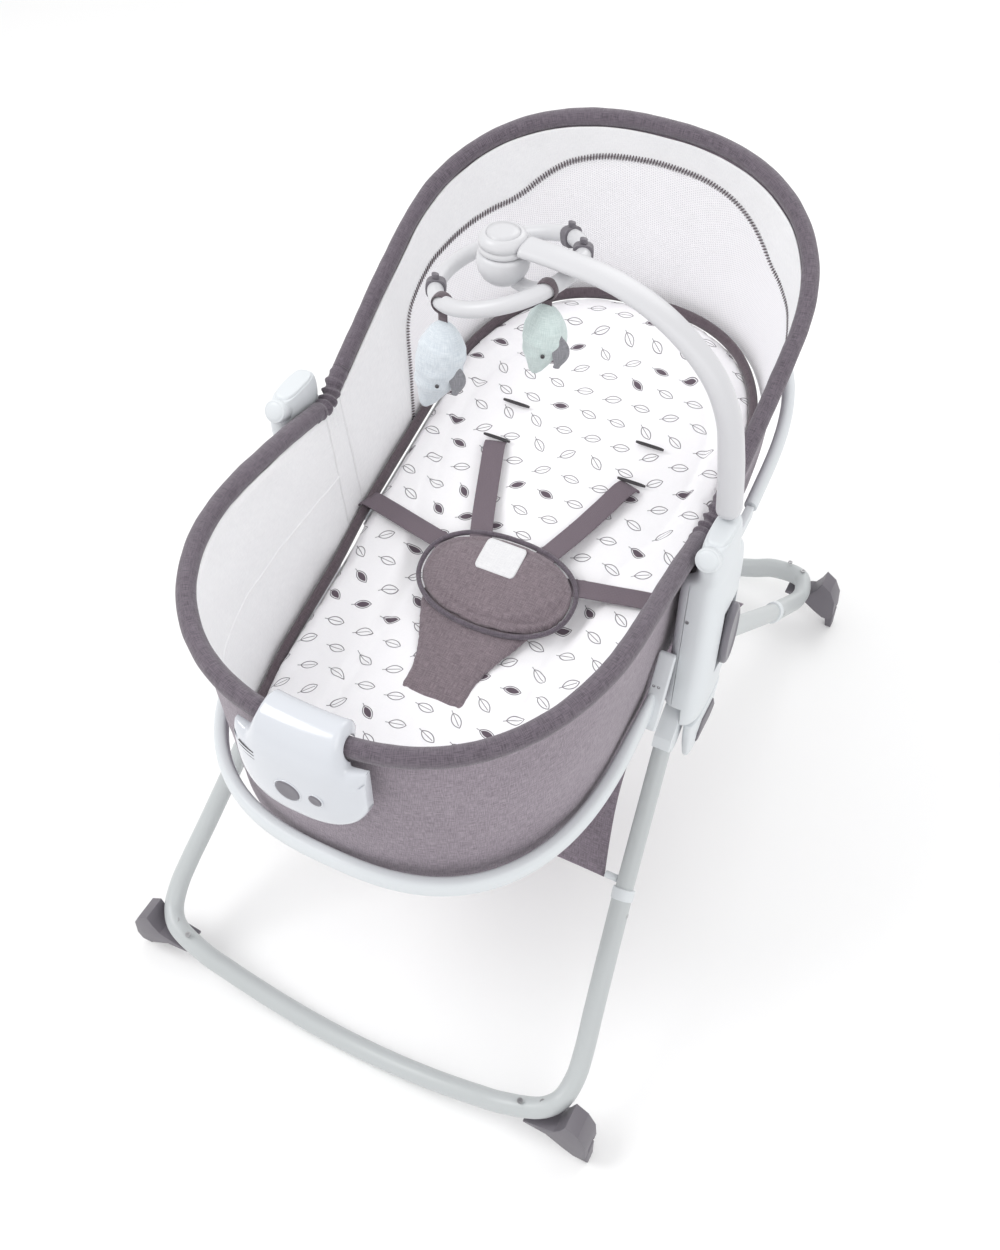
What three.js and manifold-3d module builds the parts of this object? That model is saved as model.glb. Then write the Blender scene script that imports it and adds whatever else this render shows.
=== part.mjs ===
// Bouncer seat with a bassinet tub, on a folding stand whose two bowed bars rock on the floor.
// Millimetres, +Z up, the head end towards +Y. The origin is on the floor under the middle.

import * as THREE from 'three';
import { mergeVertices } from 'three/addons/utils/BufferGeometryUtils.js';
import Module from 'manifold-3d';

const wasm = await Module();
wasm.setup();

// ---- Driving dimensions ----
const GAP = 0.4; // air left between pieces that touch
const SIDES = [['right', 1], ['left', -1]];

const STAND = {
  barY: 431, // centreline of each floor bar
  barTopX: 200, // half width where the bow ends
  bow: 52.5, // rise of the bar from its middle to barTopX
  barTube: [11, 13.5], // half thickness along y and z in the bar
  legTube: [10.5, 10.5],
  slimTube: [9.3, 9.3],
  tabTipX: 285,
};
const FOLD = { y: -35, z: 394, bossR: 22, pinR: 5 }; // where the two leg frames cross
const RECLINE = { y: -60, z: 448, bossR: 26 }; // pivot of the backrest
const SLOPE = 0.28; // rise of the lying surface towards the head
const PAD = { z: 434, half: 182, thick: 21, foot: -386, level: -255, head: 320, joint: -60, cut: 13 };
const RIM = { half: 202.5, centreY: -193, length: 218.5, power: 2.4, z: 561, rise: 18, radius: 8.7 };
const HOOP = { half: 211, y: -39, z: 567, pitch: 27.3, straight: 184, length: 194, power: 2.3, radius: 8.6 };
const RING = { half: 199, centreY: -187, length: 223, power: 2.6, z: 371, slope: 0.11, radial: 7 };
const REAR_RING = { half: 207, centreY: 130, length: 218, power: 2.6, z: 441 };
const HUB = { inner: 198, outer: 241, front: -112, back: -18, top: 594, seam: 343, bottom: 268 };
const LEG_LAYER = 222.6; // the legs turn inboard of this x
const ARM_LAYER = [203.6, 212]; // the recline arm lies between these x
const ARCH = { x: 223, y: -62, radius: 11, pivot: 606.5, top: 808 };
const TOY_RING = { x: -5, y: -42, z: 768, radius: 65, tube: 7, tilt: 18 };
const WALL = 4; // fabric walls with their padding

// ---- Materials ----
const finish = (hex, roughness, metalness = 0) =>
  new THREE.MeshStandardMaterial({ color: hex, roughness, metalness });
const PAINT = {
  tube: finish(0xc0c3c4, 0.4, 0.2),
  shell: finish(0xcbcfd2, 0.45),
  glossy: finish(0xd8dce1, 0.2),
  dark: finish(0x6e6b73, 0.5),
  rim: finish(0x5d555e, 0.9),
  outer: finish(0x857a86, 0.9),
  lining: finish(0xdadadd, 0.9),
  pad: finish(0xdddddf, 0.95),
  strap: finish(0x6b6169, 0.85),
  cover: finish(0x807379, 0.9),
  board: finish(0xb9babd, 0.7),
  plushBlue: finish(0xd4dadf, 1),
  plushMint: finish(0xd3e0dc, 1),
  steel: finish(0xa9abad, 0.3, 1),
};

// ---- Points and curves ----
const V = (x, y, z) => new THREE.Vector3(x, y, z);
const rad = THREE.MathUtils.degToRad;
const mix = THREE.MathUtils.lerp;
const spread = (from, to, count) => Array.from({ length: count }, (_, i) => mix(from, to, i / (count - 1)));
const smooth = (points, count) => new THREE.CatmullRomCurve3(points, false, 'centripetal').getSpacedPoints(count);
const signedPower = (value, power) => Math.sign(value) * Math.abs(value) ** power;
const padZ = (y) => PAD.z + SLOPE * Math.max(y, PAD.level);

// Plan of a tub end: two straight sides joined by a superellipse. It runs from x > 0 to x < 0.
function tubEnd({ half, centreY, length, power }, startY, round = 26, straight = 5, startHalf = half) {
  const direction = Math.sign(centreY - startY);
  const side = spread(0, 1, straight + 1).slice(0, -1).map((u) =>
    [mix(startHalf, half, Math.sin(u * Math.PI / 2)), mix(startY, centreY, u)]);
  const end = spread(0, Math.PI, round + 1).map((a) => [
    half * signedPower(Math.cos(a), 2 / power),
    centreY + direction * length * signedPower(Math.sin(a), 2 / power)]);
  return [...side, ...end, ...side.map(([x, y]) => [-x, y]).reverse()];
}

const rimZ = (y) => {
  const u = (RECLINE.y - y) / (RECLINE.y - RIM.centreY + RIM.length);
  return RIM.z + RIM.rise * 4 * u * (1 - u);
};
const ringZ = (y) => RING.z + RING.slope * (y + 400);
const rearRingZ = (y) => REAR_RING.z + SLOPE * y;

// ---- Solids ----
function closedBody(positions, index) {
  const geometry = new THREE.BufferGeometry();
  geometry.setAttribute('position', new THREE.Float32BufferAttribute(positions, 3));
  geometry.setIndex(index);
  return outward(mergeVertices(geometry, 1e-3));
}

function volumeOf(geometry) {
  const p = geometry.attributes.position;
  const [a, b, c] = [V(), V(), V()];
  let sum = 0;
  for (let i = 0; i < geometry.index.count; i += 3) {
    a.fromBufferAttribute(p, geometry.index.getX(i));
    b.fromBufferAttribute(p, geometry.index.getX(i + 1));
    c.fromBufferAttribute(p, geometry.index.getX(i + 2));
    sum += a.dot(b.cross(c));
  }
  return sum / 6;
}

function outward(geometry) {
  if (volumeOf(geometry) > 0) return geometry;
  const index = geometry.index.array;
  for (let i = 0; i < index.length; i += 3) [index[i], index[i + 1]] = [index[i + 1], index[i]];
  return geometry;
}

// Triangles that fill one flat ring of points, turning the way that the ring does.
function capTriangles(ring) {
  const normal = V(0, 0, 0);
  ring.forEach((p, i) => normal.add(p.clone().cross(ring[(i + 1) % ring.length])));
  normal.normalize();
  const across = ring[1].clone().sub(ring[0]).projectOnPlane(normal).normalize();
  const up = normal.clone().cross(across);
  const flat = ring.map((p) => new THREE.Vector2(p.dot(across), p.dot(up)));
  const turn = ([a, b, c]) => flat[b].clone().sub(flat[a]).cross(flat[c].clone().sub(flat[a]));
  return THREE.ShapeUtils.triangulateShape(flat, []).map((t) => (turn(t) > 0 ? t : [t[0], t[2], t[1]]));
}

// Skins a list of rings, each with the same number of points, and closes both ends.
function loft(rings) {
  const n = rings[0].length;
  const index = [];
  for (let r = 0; r + 1 < rings.length; r += 1) {
    for (let k = 0; k < n; k += 1) {
      const [a, b] = [r * n + k, r * n + (k + 1) % n];
      index.push(a, b, a + n, b, b + n, a + n);
    }
  }
  const last = (rings.length - 1) * n;
  capTriangles(rings[0]).forEach(([a, b, c]) => index.push(a, c, b));
  capTriangles(rings.at(-1)).forEach(([a, b, c]) => index.push(last + a, last + b, last + c));
  return closedBody(rings.flat().flatMap((p) => p.toArray()), index);
}

// Tube along a list of points. size(u) gives the half thickness across and along the reference.
function tube(points, size, reference = V(0, 0, 1), sides = 10) {
  const rings = points.map((p, i) => {
    const before = points[Math.max(i - 1, 0)];
    const after = points[Math.min(i + 1, points.length - 1)];
    const along = after.clone().sub(before).normalize();
    const across = along.clone().cross(reference).normalize();
    const up = across.clone().cross(along).normalize();
    const [w, h] = size(i / (points.length - 1));
    return spread(0, 2 * Math.PI, sides + 1).slice(0, -1).map((a) =>
      p.clone().addScaledVector(across, w * Math.cos(a)).addScaledVector(up, h * Math.sin(a)));
  });
  return loft(rings);
}

const outlineShape = (points) => new THREE.Shape(points.map(([u, v]) => new THREE.Vector2(u, v)));

// Plate with its outline in the YZ plane, between two x.
function sidePlate(outline, fromX, toX) {
  const plate = new THREE.ExtrudeGeometry(outlineShape(outline), { depth: toX - fromX, bevelEnabled: false });
  plate.applyMatrix4(new THREE.Matrix4().makeBasis(V(0, 1, 0), V(0, 0, 1), V(1, 0, 0)).setPosition(fromX, 0, 0));
  return merged(plate);
}

function merged(geometry) {
  geometry.deleteAttribute('normal');
  geometry.deleteAttribute('uv');
  return outward(mergeVertices(geometry, 1e-3));
}

const arc = (cx, cy, r, from, to, count) =>
  spread(rad(from), rad(to), count).map((a) => [cx + r * Math.cos(a), cy + r * Math.sin(a)]);

// Disc or rod between two points.
function rod(from, to, radius, sides = 14) {
  const along = to.clone().sub(from);
  const geometry = new THREE.CylinderGeometry(radius, radius, along.length(), sides);
  geometry.applyQuaternion(new THREE.Quaternion().setFromUnitVectors(V(0, 1, 0), along.clone().normalize()));
  geometry.translate(...from.clone().lerp(to, 0.5).toArray());
  return merged(geometry);
}

function block(from, to) {
  const size = to.clone().sub(from);
  const geometry = new THREE.BoxGeometry(size.x, size.y, size.z);
  geometry.translate(...from.clone().lerp(to, 0.5).toArray());
  return merged(geometry);
}

function mirrored(geometry) {
  const copy = geometry.clone().scale(-1, 1, 1);
  return outward(copy);
}

function toManifold(geometry) {
  const g = mergeVertices(geometry, 1e-3);
  return new wasm.Manifold(new wasm.Mesh({
    numProp: 3,
    vertProperties: new Float32Array(g.attributes.position.array),
    triVerts: new Uint32Array(g.index.array),
  }));
}

function fromManifold(solid) {
  const mesh = solid.getMesh();
  return closedBody(Array.from(mesh.vertProperties), Array.from(mesh.triVerts));
}

const cut = (geometry, ...tools) =>
  fromManifold(tools.reduce((solid, tool) => solid.subtract(toManifold(tool)), toManifold(geometry)));
const join = (geometry, ...others) =>
  fromManifold(others.reduce((solid, other) => solid.add(toManifold(other)), toManifold(geometry)));

// ---- Scene graph ----
const seat = new THREE.Group();

function add(name, geometry, material) {
  const mesh = new THREE.Mesh(geometry, material);
  mesh.name = name;
  seat.add(mesh);
}

function addPair(name, geometry, material) {
  SIDES.forEach(([side, sign]) =>
    add(`${name}_${side}`, sign > 0 ? geometry : mirrored(geometry), material));
}

// ---- Stand ----
const barZ = (x) => STAND.barTube[1] + STAND.bow * (x / STAND.barTopX) ** 2;

// Corner and lower leg of one frame on the right side, from the bar upwards.
const FRONT_LEG = [V(228, -421, 71.5), V(242, -407, 77), V(247.5, -386, 91), V(246, -362, 111),
  V(241, -331, 138.5), V(228, -242, 218)];
const REAR_LEG = [V(226, 420, 68), V(236, 400, 69), V(236.5, 372, 76), V(234, 340, 97), V(230.6, 244, 172)];

function rockerPath(leg, y) {
  const bar = spread(185, -185, 15).map((x) => V(x, y, barZ(x)));
  const mirror = (p) => V(-p.x, p.y, p.z);
  return [...[...leg].reverse(), ...bar, ...leg.map(mirror)];
}

function rocker(leg, y, thickLeg) {
  const points = smooth(rockerPath(leg, y), 52);
  const size = (u) => {
    const share = THREE.MathUtils.smoothstep(Math.min(u, 1 - u), 0.16, 0.3);
    return [mix(thickLeg[0], STAND.barTube[0], share), mix(thickLeg[1], STAND.barTube[1], share)];
  };
  return tube(points, size, V(0, 0.35 * Math.sign(y), 1));
}

function buildRockers() {
  add('front_rocker', rocker(FRONT_LEG, -STAND.barY, STAND.legTube), PAINT.tube);
  add('rear_rocker', rocker(REAR_LEG, STAND.barY, [10.5, 13]), PAINT.tube);
}

// Upper legs slide into the rockers' ends, and their sockets turn on the fold pin.
const FRONT_TOP = V(213.2, -124, 317);
const REAR_TOP = V(217, 64, 316);

function upperLeg(from, to, size) {
  const start = from.clone().lerp(to, 0.035);
  const end = to.clone().lerp(from, 0.008);
  return tube([start, start.clone().lerp(end, 0.5), end], () => size, V(0, 0.3, 1));
}

function buildUpperLegs() {
  addPair('front_upper_leg', upperLeg(FRONT_TOP, FRONT_LEG.at(-1), STAND.slimTube), PAINT.tube);
  addPair('rear_upper_leg', upperLeg(REAR_TOP, REAR_LEG.at(-1), [9.5, 12]), PAINT.tube);
}

// Hexagonal socket at the top of a leg, with a thinner arm up to its boss on the fold pin.
function legSocket(top, armLayer, halfWidth) {
  const down = V(0, top.y - FOLD.y, top.z - FOLD.z);
  const reach = down.length();
  const angle = THREE.MathUtils.radToDeg(Math.atan2(down.z, down.y));
  const place = ([u, v]) => {
    const a = rad(angle);
    return [FOLD.y + u * Math.cos(a) - v * Math.sin(a), FOLD.z + u * Math.sin(a) + v * Math.cos(a)];
  };
  const arm = sidePlate([...arc(0, 0, FOLD.bossR, 60, 300, 9), [70, -14], [70, 14]].map(place), ...armLayer);
  const hex = [[62, -12], [72, -halfWidth], [reach - 12, -halfWidth], [reach - GAP, -halfWidth + 7],
    [reach - GAP, halfWidth - 7], [reach - 12, halfWidth], [72, halfWidth], [62, 12]];
  const head = sidePlate(hex.map(place), ARM_LAYER[0], LEG_LAYER - 0.6);
  const bore = rod(V(190, FOLD.y, FOLD.z), V(230, FOLD.y, FOLD.z), FOLD.pinR + GAP);
  return cut(join(arm, head), bore);
}

function buildSockets() {
  addPair('front_leg_socket', legSocket(FRONT_TOP, [203.6, 212.4], 17), PAINT.shell);
  addPair('rear_leg_socket', legSocket(REAR_TOP, [213, 222], 15), PAINT.shell);
  const pin = rod(V(200.5, FOLD.y, FOLD.z), V(LEG_LAYER, FOLD.y, FOLD.z), FOLD.pinR);
  addPair('fold_pin', pin, PAINT.steel);
}

// Fin-shaped foot under a corner of a rocker, outline in x and z, with a slot for its stopper tab.
function foot(y, sign) {
  const outline = [[212, 45], [238, 42], [258, 28], [270, 21], [279, 21], [284, 32], [282, 56],
    [273, 74], [259, 84], [254, 70], [247, 58.5], [232, 53], [212, 48]];
  const half = 14;
  const fin = new THREE.ExtrudeGeometry(outlineShape(outline), { depth: 2 * half, bevelEnabled: false });
  fin.applyMatrix4(new THREE.Matrix4().makeBasis(V(1, 0, 0), V(0, 0, 1), V(0, -1, 0)).setPosition(0, y + half, 0));
  const slot = block(V(269, y - 7.6, 0), V(300, y + 7.6, 37));
  return cut(merged(fin), slot, clearanceAround(sign));
}

// Space that the rocker's corner takes out of a foot.
function clearanceAround(sign) {
  const leg = sign < 0 ? FRONT_LEG : REAR_LEG;
  const points = smooth(rockerPath(leg, sign * STAND.barY), 52).filter((p) => p.x > 180);
  return tube(points, () => [STAND.barTube[0] + 1, STAND.barTube[1] + 1], V(0, 0.35 * sign, 1));
}

const TAB = { axisX: 279, axisZ: 29, half: 7 };

function stopperTab(y) {
  const outline = [...arc(TAB.axisX, TAB.axisZ, 6, -20, 190, 8), [274, 14], [276.5, 0], [STAND.tabTipX, 0],
    [284.6, 14]];
  const tab = new THREE.ExtrudeGeometry(outlineShape(outline), { depth: 2 * TAB.half, bevelEnabled: false });
  tab.applyMatrix4(new THREE.Matrix4().makeBasis(V(1, 0, 0), V(0, 0, 1), V(0, -1, 0)).setPosition(0, y + TAB.half, 0));
  return merged(tab);
}

function buildFeet() {
  [['front', -1], ['rear', 1]].forEach(([end, sign]) => {
    const y = sign * 420;
    addPair(`${end}_foot`, foot(y, sign), PAINT.dark);
    addPair(`${end}_stopper_tab`, stopperTab(y), PAINT.dark);
  });
}

// ---- Hubs ----
// Horizontal section of a hub: a rounded slab between two x and two y.
function hubSection(z, inner, outer, front, back, bulge = 0.42) {
  const [cx, cy] = [(inner + outer) / 2, (front + back) / 2];
  const [rx, ry] = [(outer - inner) / 2, (back - front) / 2];
  return spread(0, 2 * Math.PI, 21).slice(0, -1).map((a) =>
    V(cx + rx * signedPower(Math.cos(a), bulge), cy + ry * signedPower(Math.sin(a), bulge), z));
}

const LOCK_CAP = { from: V(224, -97.4, 577), to: V(224, -112, 584.8), radius: 11.5 };

function hubCover() {
  const body = loft([
    hubSection(HUB.seam, HUB.inner, 237, -108, -20),
    hubSection(380, HUB.inner, 240, HUB.front, HUB.back),
    hubSection(450, HUB.inner, HUB.outer, HUB.front, HUB.back),
    hubSection(520, HUB.inner, 240.5, HUB.front, -20),
    hubSection(546, 199.5, 239.5, -111, -26),
    hubSection(556, 213, 239, -110, -44),
    hubSection(574, 212.5, 238, -110, -44),
    hubSection(586, 212.5, 237, -107, -46),
    hubSection(HUB.top, 214, 235, -98, -50)]);
  const legSpace = block(V(190, -97, 300), V(LEG_LAYER, 10, 424));
  const frontLegWay = block(V(190, -130, 300), V(LEG_LAYER, -96, 373));
  const armSpace = block(V(190, -99, 410), V(ARM_LAYER[1] + GAP, 10, 558));
  const rearLegWay = block(V(190, -70, 300), V(LEG_LAYER, 10, 434));
  const capSeat = rod(LOCK_CAP.from, LOCK_CAP.to, LOCK_CAP.radius + GAP, 18);
  return cut(body, legSpace, frontLegWay, armSpace, rearLegWay, capSeat, reclinePocket());
}

// Rubber pad on the outer lower edge; grow widens it for the pocket that holds it.
function hubBumper(grow = 0) {
  return loft([[284, 231, 234.6, -76, -52], [298, 234.8, 238.2, -84, -42], [314, 236, 240, -86, -40],
    [328, 236.6, 239.4, -78, -46]].map(([z, inner, outer, front, back], i) =>
    hubSection(z + [-1, 0, 0, 1][i] * grow, inner - grow, outer + grow, front - grow, back + grow)));
}

function hubLowerCover() {
  const shell = loft([
    hubSection(HUB.bottom, 225, 231, -82, -50),
    hubSection(280, 224.2, 234, -92, -40),
    hubSection(305, 223.2, 237, -100, -30),
    hubSection(HUB.seam - 0.6, 223.2, 238, -106, -22)]);
  return cut(shell, hubBumper(GAP));
}

function hubParts() {
  addPair('hub_cover', hubCover(), PAINT.shell);
  addPair('hub_lower_cover', hubLowerCover(), PAINT.shell);
  addPair('hub_bumper', hubBumper(), PAINT.dark);
  addPair('arch_lock_cap', rod(LOCK_CAP.from.clone().lerp(LOCK_CAP.to, 0.04), LOCK_CAP.to, LOCK_CAP.radius, 18),
    PAINT.shell);
  addPair('recline_button', reclineButton(), PAINT.dark);
}

// Long oval button on the outer side of the hub, on the recline pivot.
function ovalDisc(steps) {
  return loft(steps.map(([x, w, h]) => spread(0, 2 * Math.PI, 19).slice(0, -1).map((a) =>
    V(x, RECLINE.y + w * Math.cos(a), RECLINE.z + h * Math.sin(a)))));
}

const reclineButton = () => ovalDisc([[240.4, 17, 42], [245, 17, 42], [248, 13, 36]]);
const reclinePocket = () => ovalDisc([[237, 17.6, 42.6], [250, 17.6, 42.6]]);

// Arm that carries the hoop and the rear ring round the recline pivot.
function reclineArm() {
  const outline = [...arc(RECLINE.y, RECLINE.z, RECLINE.bossR, 150, 290, 9), [-20, 437], [0, 447], [20, 452],
    [92, 459], [92, 473], [20, 468], [-22, 484], [-27, 551], [-51, 551], [-60, 500], [-82, 464]];
  return sidePlate(outline, ...ARM_LAYER);
}

// ---- Seat ----
function buildRing() {
  const plan = tubEnd(RING, -124, 26, 4);
  const points = plan.map(([x, y]) => V(x, y, ringZ(y)));
  const size = (u) => {
    const share = THREE.MathUtils.smoothstep(Math.min(u, 1 - u), 0, 0.12);
    return [mix(5, RING.radial, share), mix(15, 10, share)];
  };
  const ring = tube(points, size);
  const plate = sidePlate([[-154, 380], [-147, 374], [-121, 428], [-113, 448], [-113.4, 454], [-118.5, 454],
    [-127, 437]], 194.5, 211);
  const tabs = [plate, mirrored(plate)];
  add('base_ring', join(ring, ...tabs), PAINT.shell);
}

function buildRim() {
  const points = tubEnd(RIM, -66, 28, 4).map(([x, y]) => V(x, y, rimZ(y)));
  add('foot_rim', tube(points, () => [RIM.radius, RIM.radius]), PAINT.rim);
}

// Fabric wall of the foot end, from under the rim down inside the ring to the pad's edge.
function buildFootWall() {
  const top = { ...RIM, half: RIM.half - 2, length: RIM.length - 2 };
  const bottom = { ...RIM, half: 187, length: 205 };
  const [upper, lower] = [tubEnd(top, -67, 28, 4), tubEnd(bottom, -67, 28, 4)];
  const stations = upper.map(([x, y], i) => {
    const [bx, by] = lower[i];
    const inward = V(-x, RIM.centreY - Math.min(y, RIM.centreY), 0).normalize().multiplyScalar(WALL);
    const a = V(bx, by, padZ(by) - 21);
    const b = V(x, y, rimZ(y) - RIM.radius - GAP);
    return [a, b, b.clone().add(inward), a.clone().add(inward)];
  });
  add('foot_wall', loft(stations), PAINT.outer);
}

// Padded mattress part or its stiffening board, following the sloping lying surface.
function lyingSlab(halfAt, fromY, toY, drop, thick, rows, edge) {
  const rings = spread(fromY, toY, rows).map((y) => {
    const half = halfAt(y);
    const z = padZ(y) - drop;
    return [V(half - edge, y, z), V(half, y, z - edge), V(half, y, z - thick + edge), V(half - edge, y, z - thick),
      V(-half + edge, y, z - thick), V(-half, y, z - thick + edge), V(-half, y, z - edge), V(-half + edge, y, z)];
  });
  return loft(rings);
}

function roundedEnd(half, endY, startY, power) {
  return (y) => {
    const u = THREE.MathUtils.clamp((y - startY) / (endY - startY), 0, 0.985);
    return half * (1 - u ** power) ** (1 / power);
  };
}

function buildPads() {
  const footHalf = roundedEnd(PAD.half - 4, PAD.foot - 4, -190, 2.6);
  const headHalf = roundedEnd(PAD.half, PAD.head + 4, 110, 2.5);
  const [front, back] = [PAD.joint - PAD.cut, PAD.joint + PAD.cut];
  add('seat_pad', lyingSlab(footHalf, PAD.foot, front, 0, PAD.thick, 18, 5), PAINT.pad);
  add('back_pad', lyingSlab(headHalf, back, PAD.head, 0, PAD.thick, 18, 5), PAINT.pad);
  const [under, thin] = [PAD.thick + GAP, 5];
  add('seat_board', lyingSlab((y) => footHalf(y) - 3, PAD.foot, front, under, thin, 18, 1), PAINT.board);
  add('back_board', lyingSlab((y) => headHalf(y) - 3, back, PAD.head, under, thin, 18, 1), PAINT.board);
}

// ---- Harness ----
const onPad = (x, y, lift) => V(x, y, padZ(y) + lift);

// Flat pad piece lying on the mattress: outline as half width for each y.
function lyingPiece(centreX, halfAt, ys, lift, thick) {
  return loft(ys.map((y) => {
    const half = halfAt(y);
    return [onPad(centreX - half, y, lift), onPad(centreX + half, y, lift),
      onPad(centreX + half, y, lift + thick), onPad(centreX - half, y, lift + thick)];
  }));
}

const COVER = { x: 4, y: -84, a: 86, b: 53, lift: 9.5, thick: 13 };

function buildHarness() {
  const oval = (y) => COVER.a * Math.sqrt(Math.max(1 - ((y - COVER.y) / COVER.b) ** 2, 0.02));
  const ovalYs = spread(-Math.PI / 2, Math.PI / 2, 13).map((a) => COVER.y + COVER.b * Math.sin(a) * 0.99);
  add('harness_cover', lyingPiece(COVER.x, oval, ovalYs, COVER.lift, COVER.thick), PAINT.cover);
  const taper = (y) => mix(38, 66, THREE.MathUtils.smoothstep(y, -200, -105));
  add('crotch_piece', lyingPiece(-2, taper, spread(-222, -90, 9), GAP, 8.5), PAINT.cover);
  const waist = [onPad(62, -60, 5.5), onPad(100, -52, 5), onPad(140, -44, 4.5), onPad(177, -38, 4)];
  addPair('waist_strap', tube(waist, () => [12, 1], V(0, 0, 1), 6), PAINT.strap);
  const shoulder = [onPad(40, -28, 14), onPad(58, 20, 4), onPad(80, 78, 3)];
  addPair('shoulder_strap', tube(smooth(shoulder, 5), () => [12, 1], V(0, 0, 1), 6), PAINT.strap);
}

// ---- Controller ----
const rimFrontY = (x) =>
  RIM.centreY - RIM.length * (1 - Math.abs(x / RIM.half) ** RIM.power) ** (1 / RIM.power);
const CASE = { half: 63, low: 470, depth: 18, saddle: [34, 48], top: 553, bite: 10.4 };
const PRESS_POCKET = 3.4;

// Section of the case that hangs on the front of the rim: a face below it and, near the middle, a saddle over it.
function controllerSection(x) {
  const fullness = Math.sqrt(Math.max(1 - Math.abs(x / CASE.half) ** 2.8, 0.04));
  const saddle = 1 - THREE.MathUtils.smoothstep(Math.abs(x), ...CASE.saddle);
  const y = rimFrontY(x);
  const [low, lip] = [mix(516, CASE.low, fullness), rimZ(y) + CASE.bite];
  const back = y - CASE.bite;
  const bulge = CASE.depth * mix(0.35, 1, fullness);
  const over = [[-0.85 * bulge, lip - 16], [-0.3 * bulge, lip], [CASE.bite, lip + 10], [CASE.bite + 14, lip + 6],
    [CASE.bite + 20, lip - 8], [CASE.bite + 17, lip - 9], [CASE.bite + 9, lip - 10], [CASE.bite, lip - 14]];
  const under = [[-0.85 * bulge, -9], [-0.6 * bulge, -2], [-0.45 * bulge, 0], [-0.3 * bulge, 0], [-0.2 * bulge, 0],
    [-0.1 * bulge, 0], [0, -1], [0, -4]];
  return [V(x, back, low), V(x, back - 0.6 * bulge, low + 1), V(x, back - bulge, low + 18 * fullness),
    V(x, back - bulge, mix(low, lip, 0.62)),
    ...over.map(([dy, z], i) => V(x, back + mix(under[i][0], dy, saddle), mix(CASE.top + under[i][1], z, saddle)))];
}

// Push button in a round pocket of the case's face.
function pressButton(x, z, radius) {
  const face = controllerSection(x)[3].y;
  return {
    button: rod(V(x, face + 1.6, z), V(x, face - 1.2, z), radius, 16),
    pocket: rod(V(x, face + PRESS_POCKET, z), V(x, face - 4, z), radius + GAP, 16),
  };
}

function buildController() {
  const power = pressButton(-5, 511, 11.5);
  const mode = pressButton(21, 513, 6);
  const shell = loft(spread(-62, 62, 19).map(controllerSection));
  const rimWay = tube(tubEnd(RIM, -66, 28, 4).map(([x, y]) => V(x, y, rimZ(y))), () => [CASE.bite, CASE.bite]);
  add('controller_case', cut(shell, rimWay, power.pocket, mode.pocket), PAINT.glossy);
  add('power_button', power.button, PAINT.dark);
  add('mode_button', mode.button, PAINT.dark);
}

// ---- Backrest ----
const hoopPoint = (x, q) => V(x, HOOP.y + q * Math.cos(rad(HOOP.pitch)), HOOP.z + q * Math.sin(rad(HOOP.pitch)));

function hoopPlan(inset = 0, round = 28) {
  const plan = { half: HOOP.half - inset, centreY: HOOP.straight, length: HOOP.length - inset, power: HOOP.power };
  return tubEnd(plan, 0, round, 6, 206 - inset);
}

function buildHoop() {
  const points = hoopPlan().map(([x, q]) => hoopPoint(x, q));
  add('head_hoop', tube(points, () => [HOOP.radius, HOOP.radius]), PAINT.rim);
}

function buildRearRing() {
  const points = tubEnd(REAR_RING, 96, 24, 2).map(([x, y]) => V(x, y, rearRingZ(y)));
  add('rear_ring', tube(points, () => [7, 9]), PAINT.shell);
}

// Sheet of the head wall between two heights, as shares of the way from the pad's edge to the hoop.
function headWall(fromShare, toShare) {
  const lower = { half: 190, centreY: 120, length: 215, power: 2.5 };
  const [top, bottom] = [hoopPlan(4), tubEnd(lower, -33, 28, 6)];
  const stations = top.map(([x, q], i) => {
    const high = hoopPoint(x, q).add(V(0, 0, -HOOP.radius - 2));
    const [bx, by] = bottom[i];
    const low = V(bx, by, padZ(by) - 20);
    const inward = V(-x, 120 - Math.max(by, 120), 0).normalize().multiplyScalar(WALL);
    const a = low.clone().lerp(high, fromShare);
    const b = low.clone().lerp(high, toShare);
    return [a, b, b.clone().add(inward), a.clone().add(inward)];
  });
  return loft(stations);
}

function buildBackrest() {
  buildHoop();
  buildRearRing();
  add('head_wall', headWall(0, 1), PAINT.lining);
  addPair('recline_arm', reclineArm(), PAINT.shell);
}

// ---- Toy arch ----
function buildArch() {
  const side = [V(ARCH.x, ARCH.y, ARCH.pivot), V(221, ARCH.y, 628), V(216.5, ARCH.y, 665), V(209, ARCH.y, 702),
    V(190, ARCH.y, 739), V(150, ARCH.y, 776), V(103, ARCH.y, 798), V(50, ARCH.y, 806), V(22, ARCH.y, ARCH.top)];
  const foot = spread(-80, -20, 4).map((a) => V(ARCH.x, ARCH.y, ARCH.pivot + ARCH.radius * Math.sin(rad(a))));
  const size = (u) => {
    const flat = THREE.MathUtils.smoothstep(u, 0.1, 0.75);
    const ball = u < 0.17 ? Math.cos(Math.asin(THREE.MathUtils.clamp(1 - u / 0.14, 0, 0.985))) : 1;
    return [mix(ARCH.radius, 6, flat) * ball, mix(ARCH.radius, 14, flat) * ball];
  };
  add('toy_arch', tube([...foot, ...smooth(side, 21)], size, V(0, 1, 0)), PAINT.shell);
}

// Turned piece on the arch's end, from a profile of radius and height.
function turned(profile) {
  const lathe = new THREE.LatheGeometry(profile.map(([r, z]) => new THREE.Vector2(r, z)), 18);
  return merged(lathe.rotateX(Math.PI / 2).translate(0, ARCH.y, 0));
}

function ringPoint(degrees) {
  const a = rad(degrees);
  return V(TOY_RING.radius * Math.cos(a), TOY_RING.radius * Math.sin(a), 0)
    .applyAxisAngle(V(0, 1, 0), -rad(TOY_RING.tilt)).add(V(TOY_RING.x, TOY_RING.y, TOY_RING.z));
}

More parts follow.
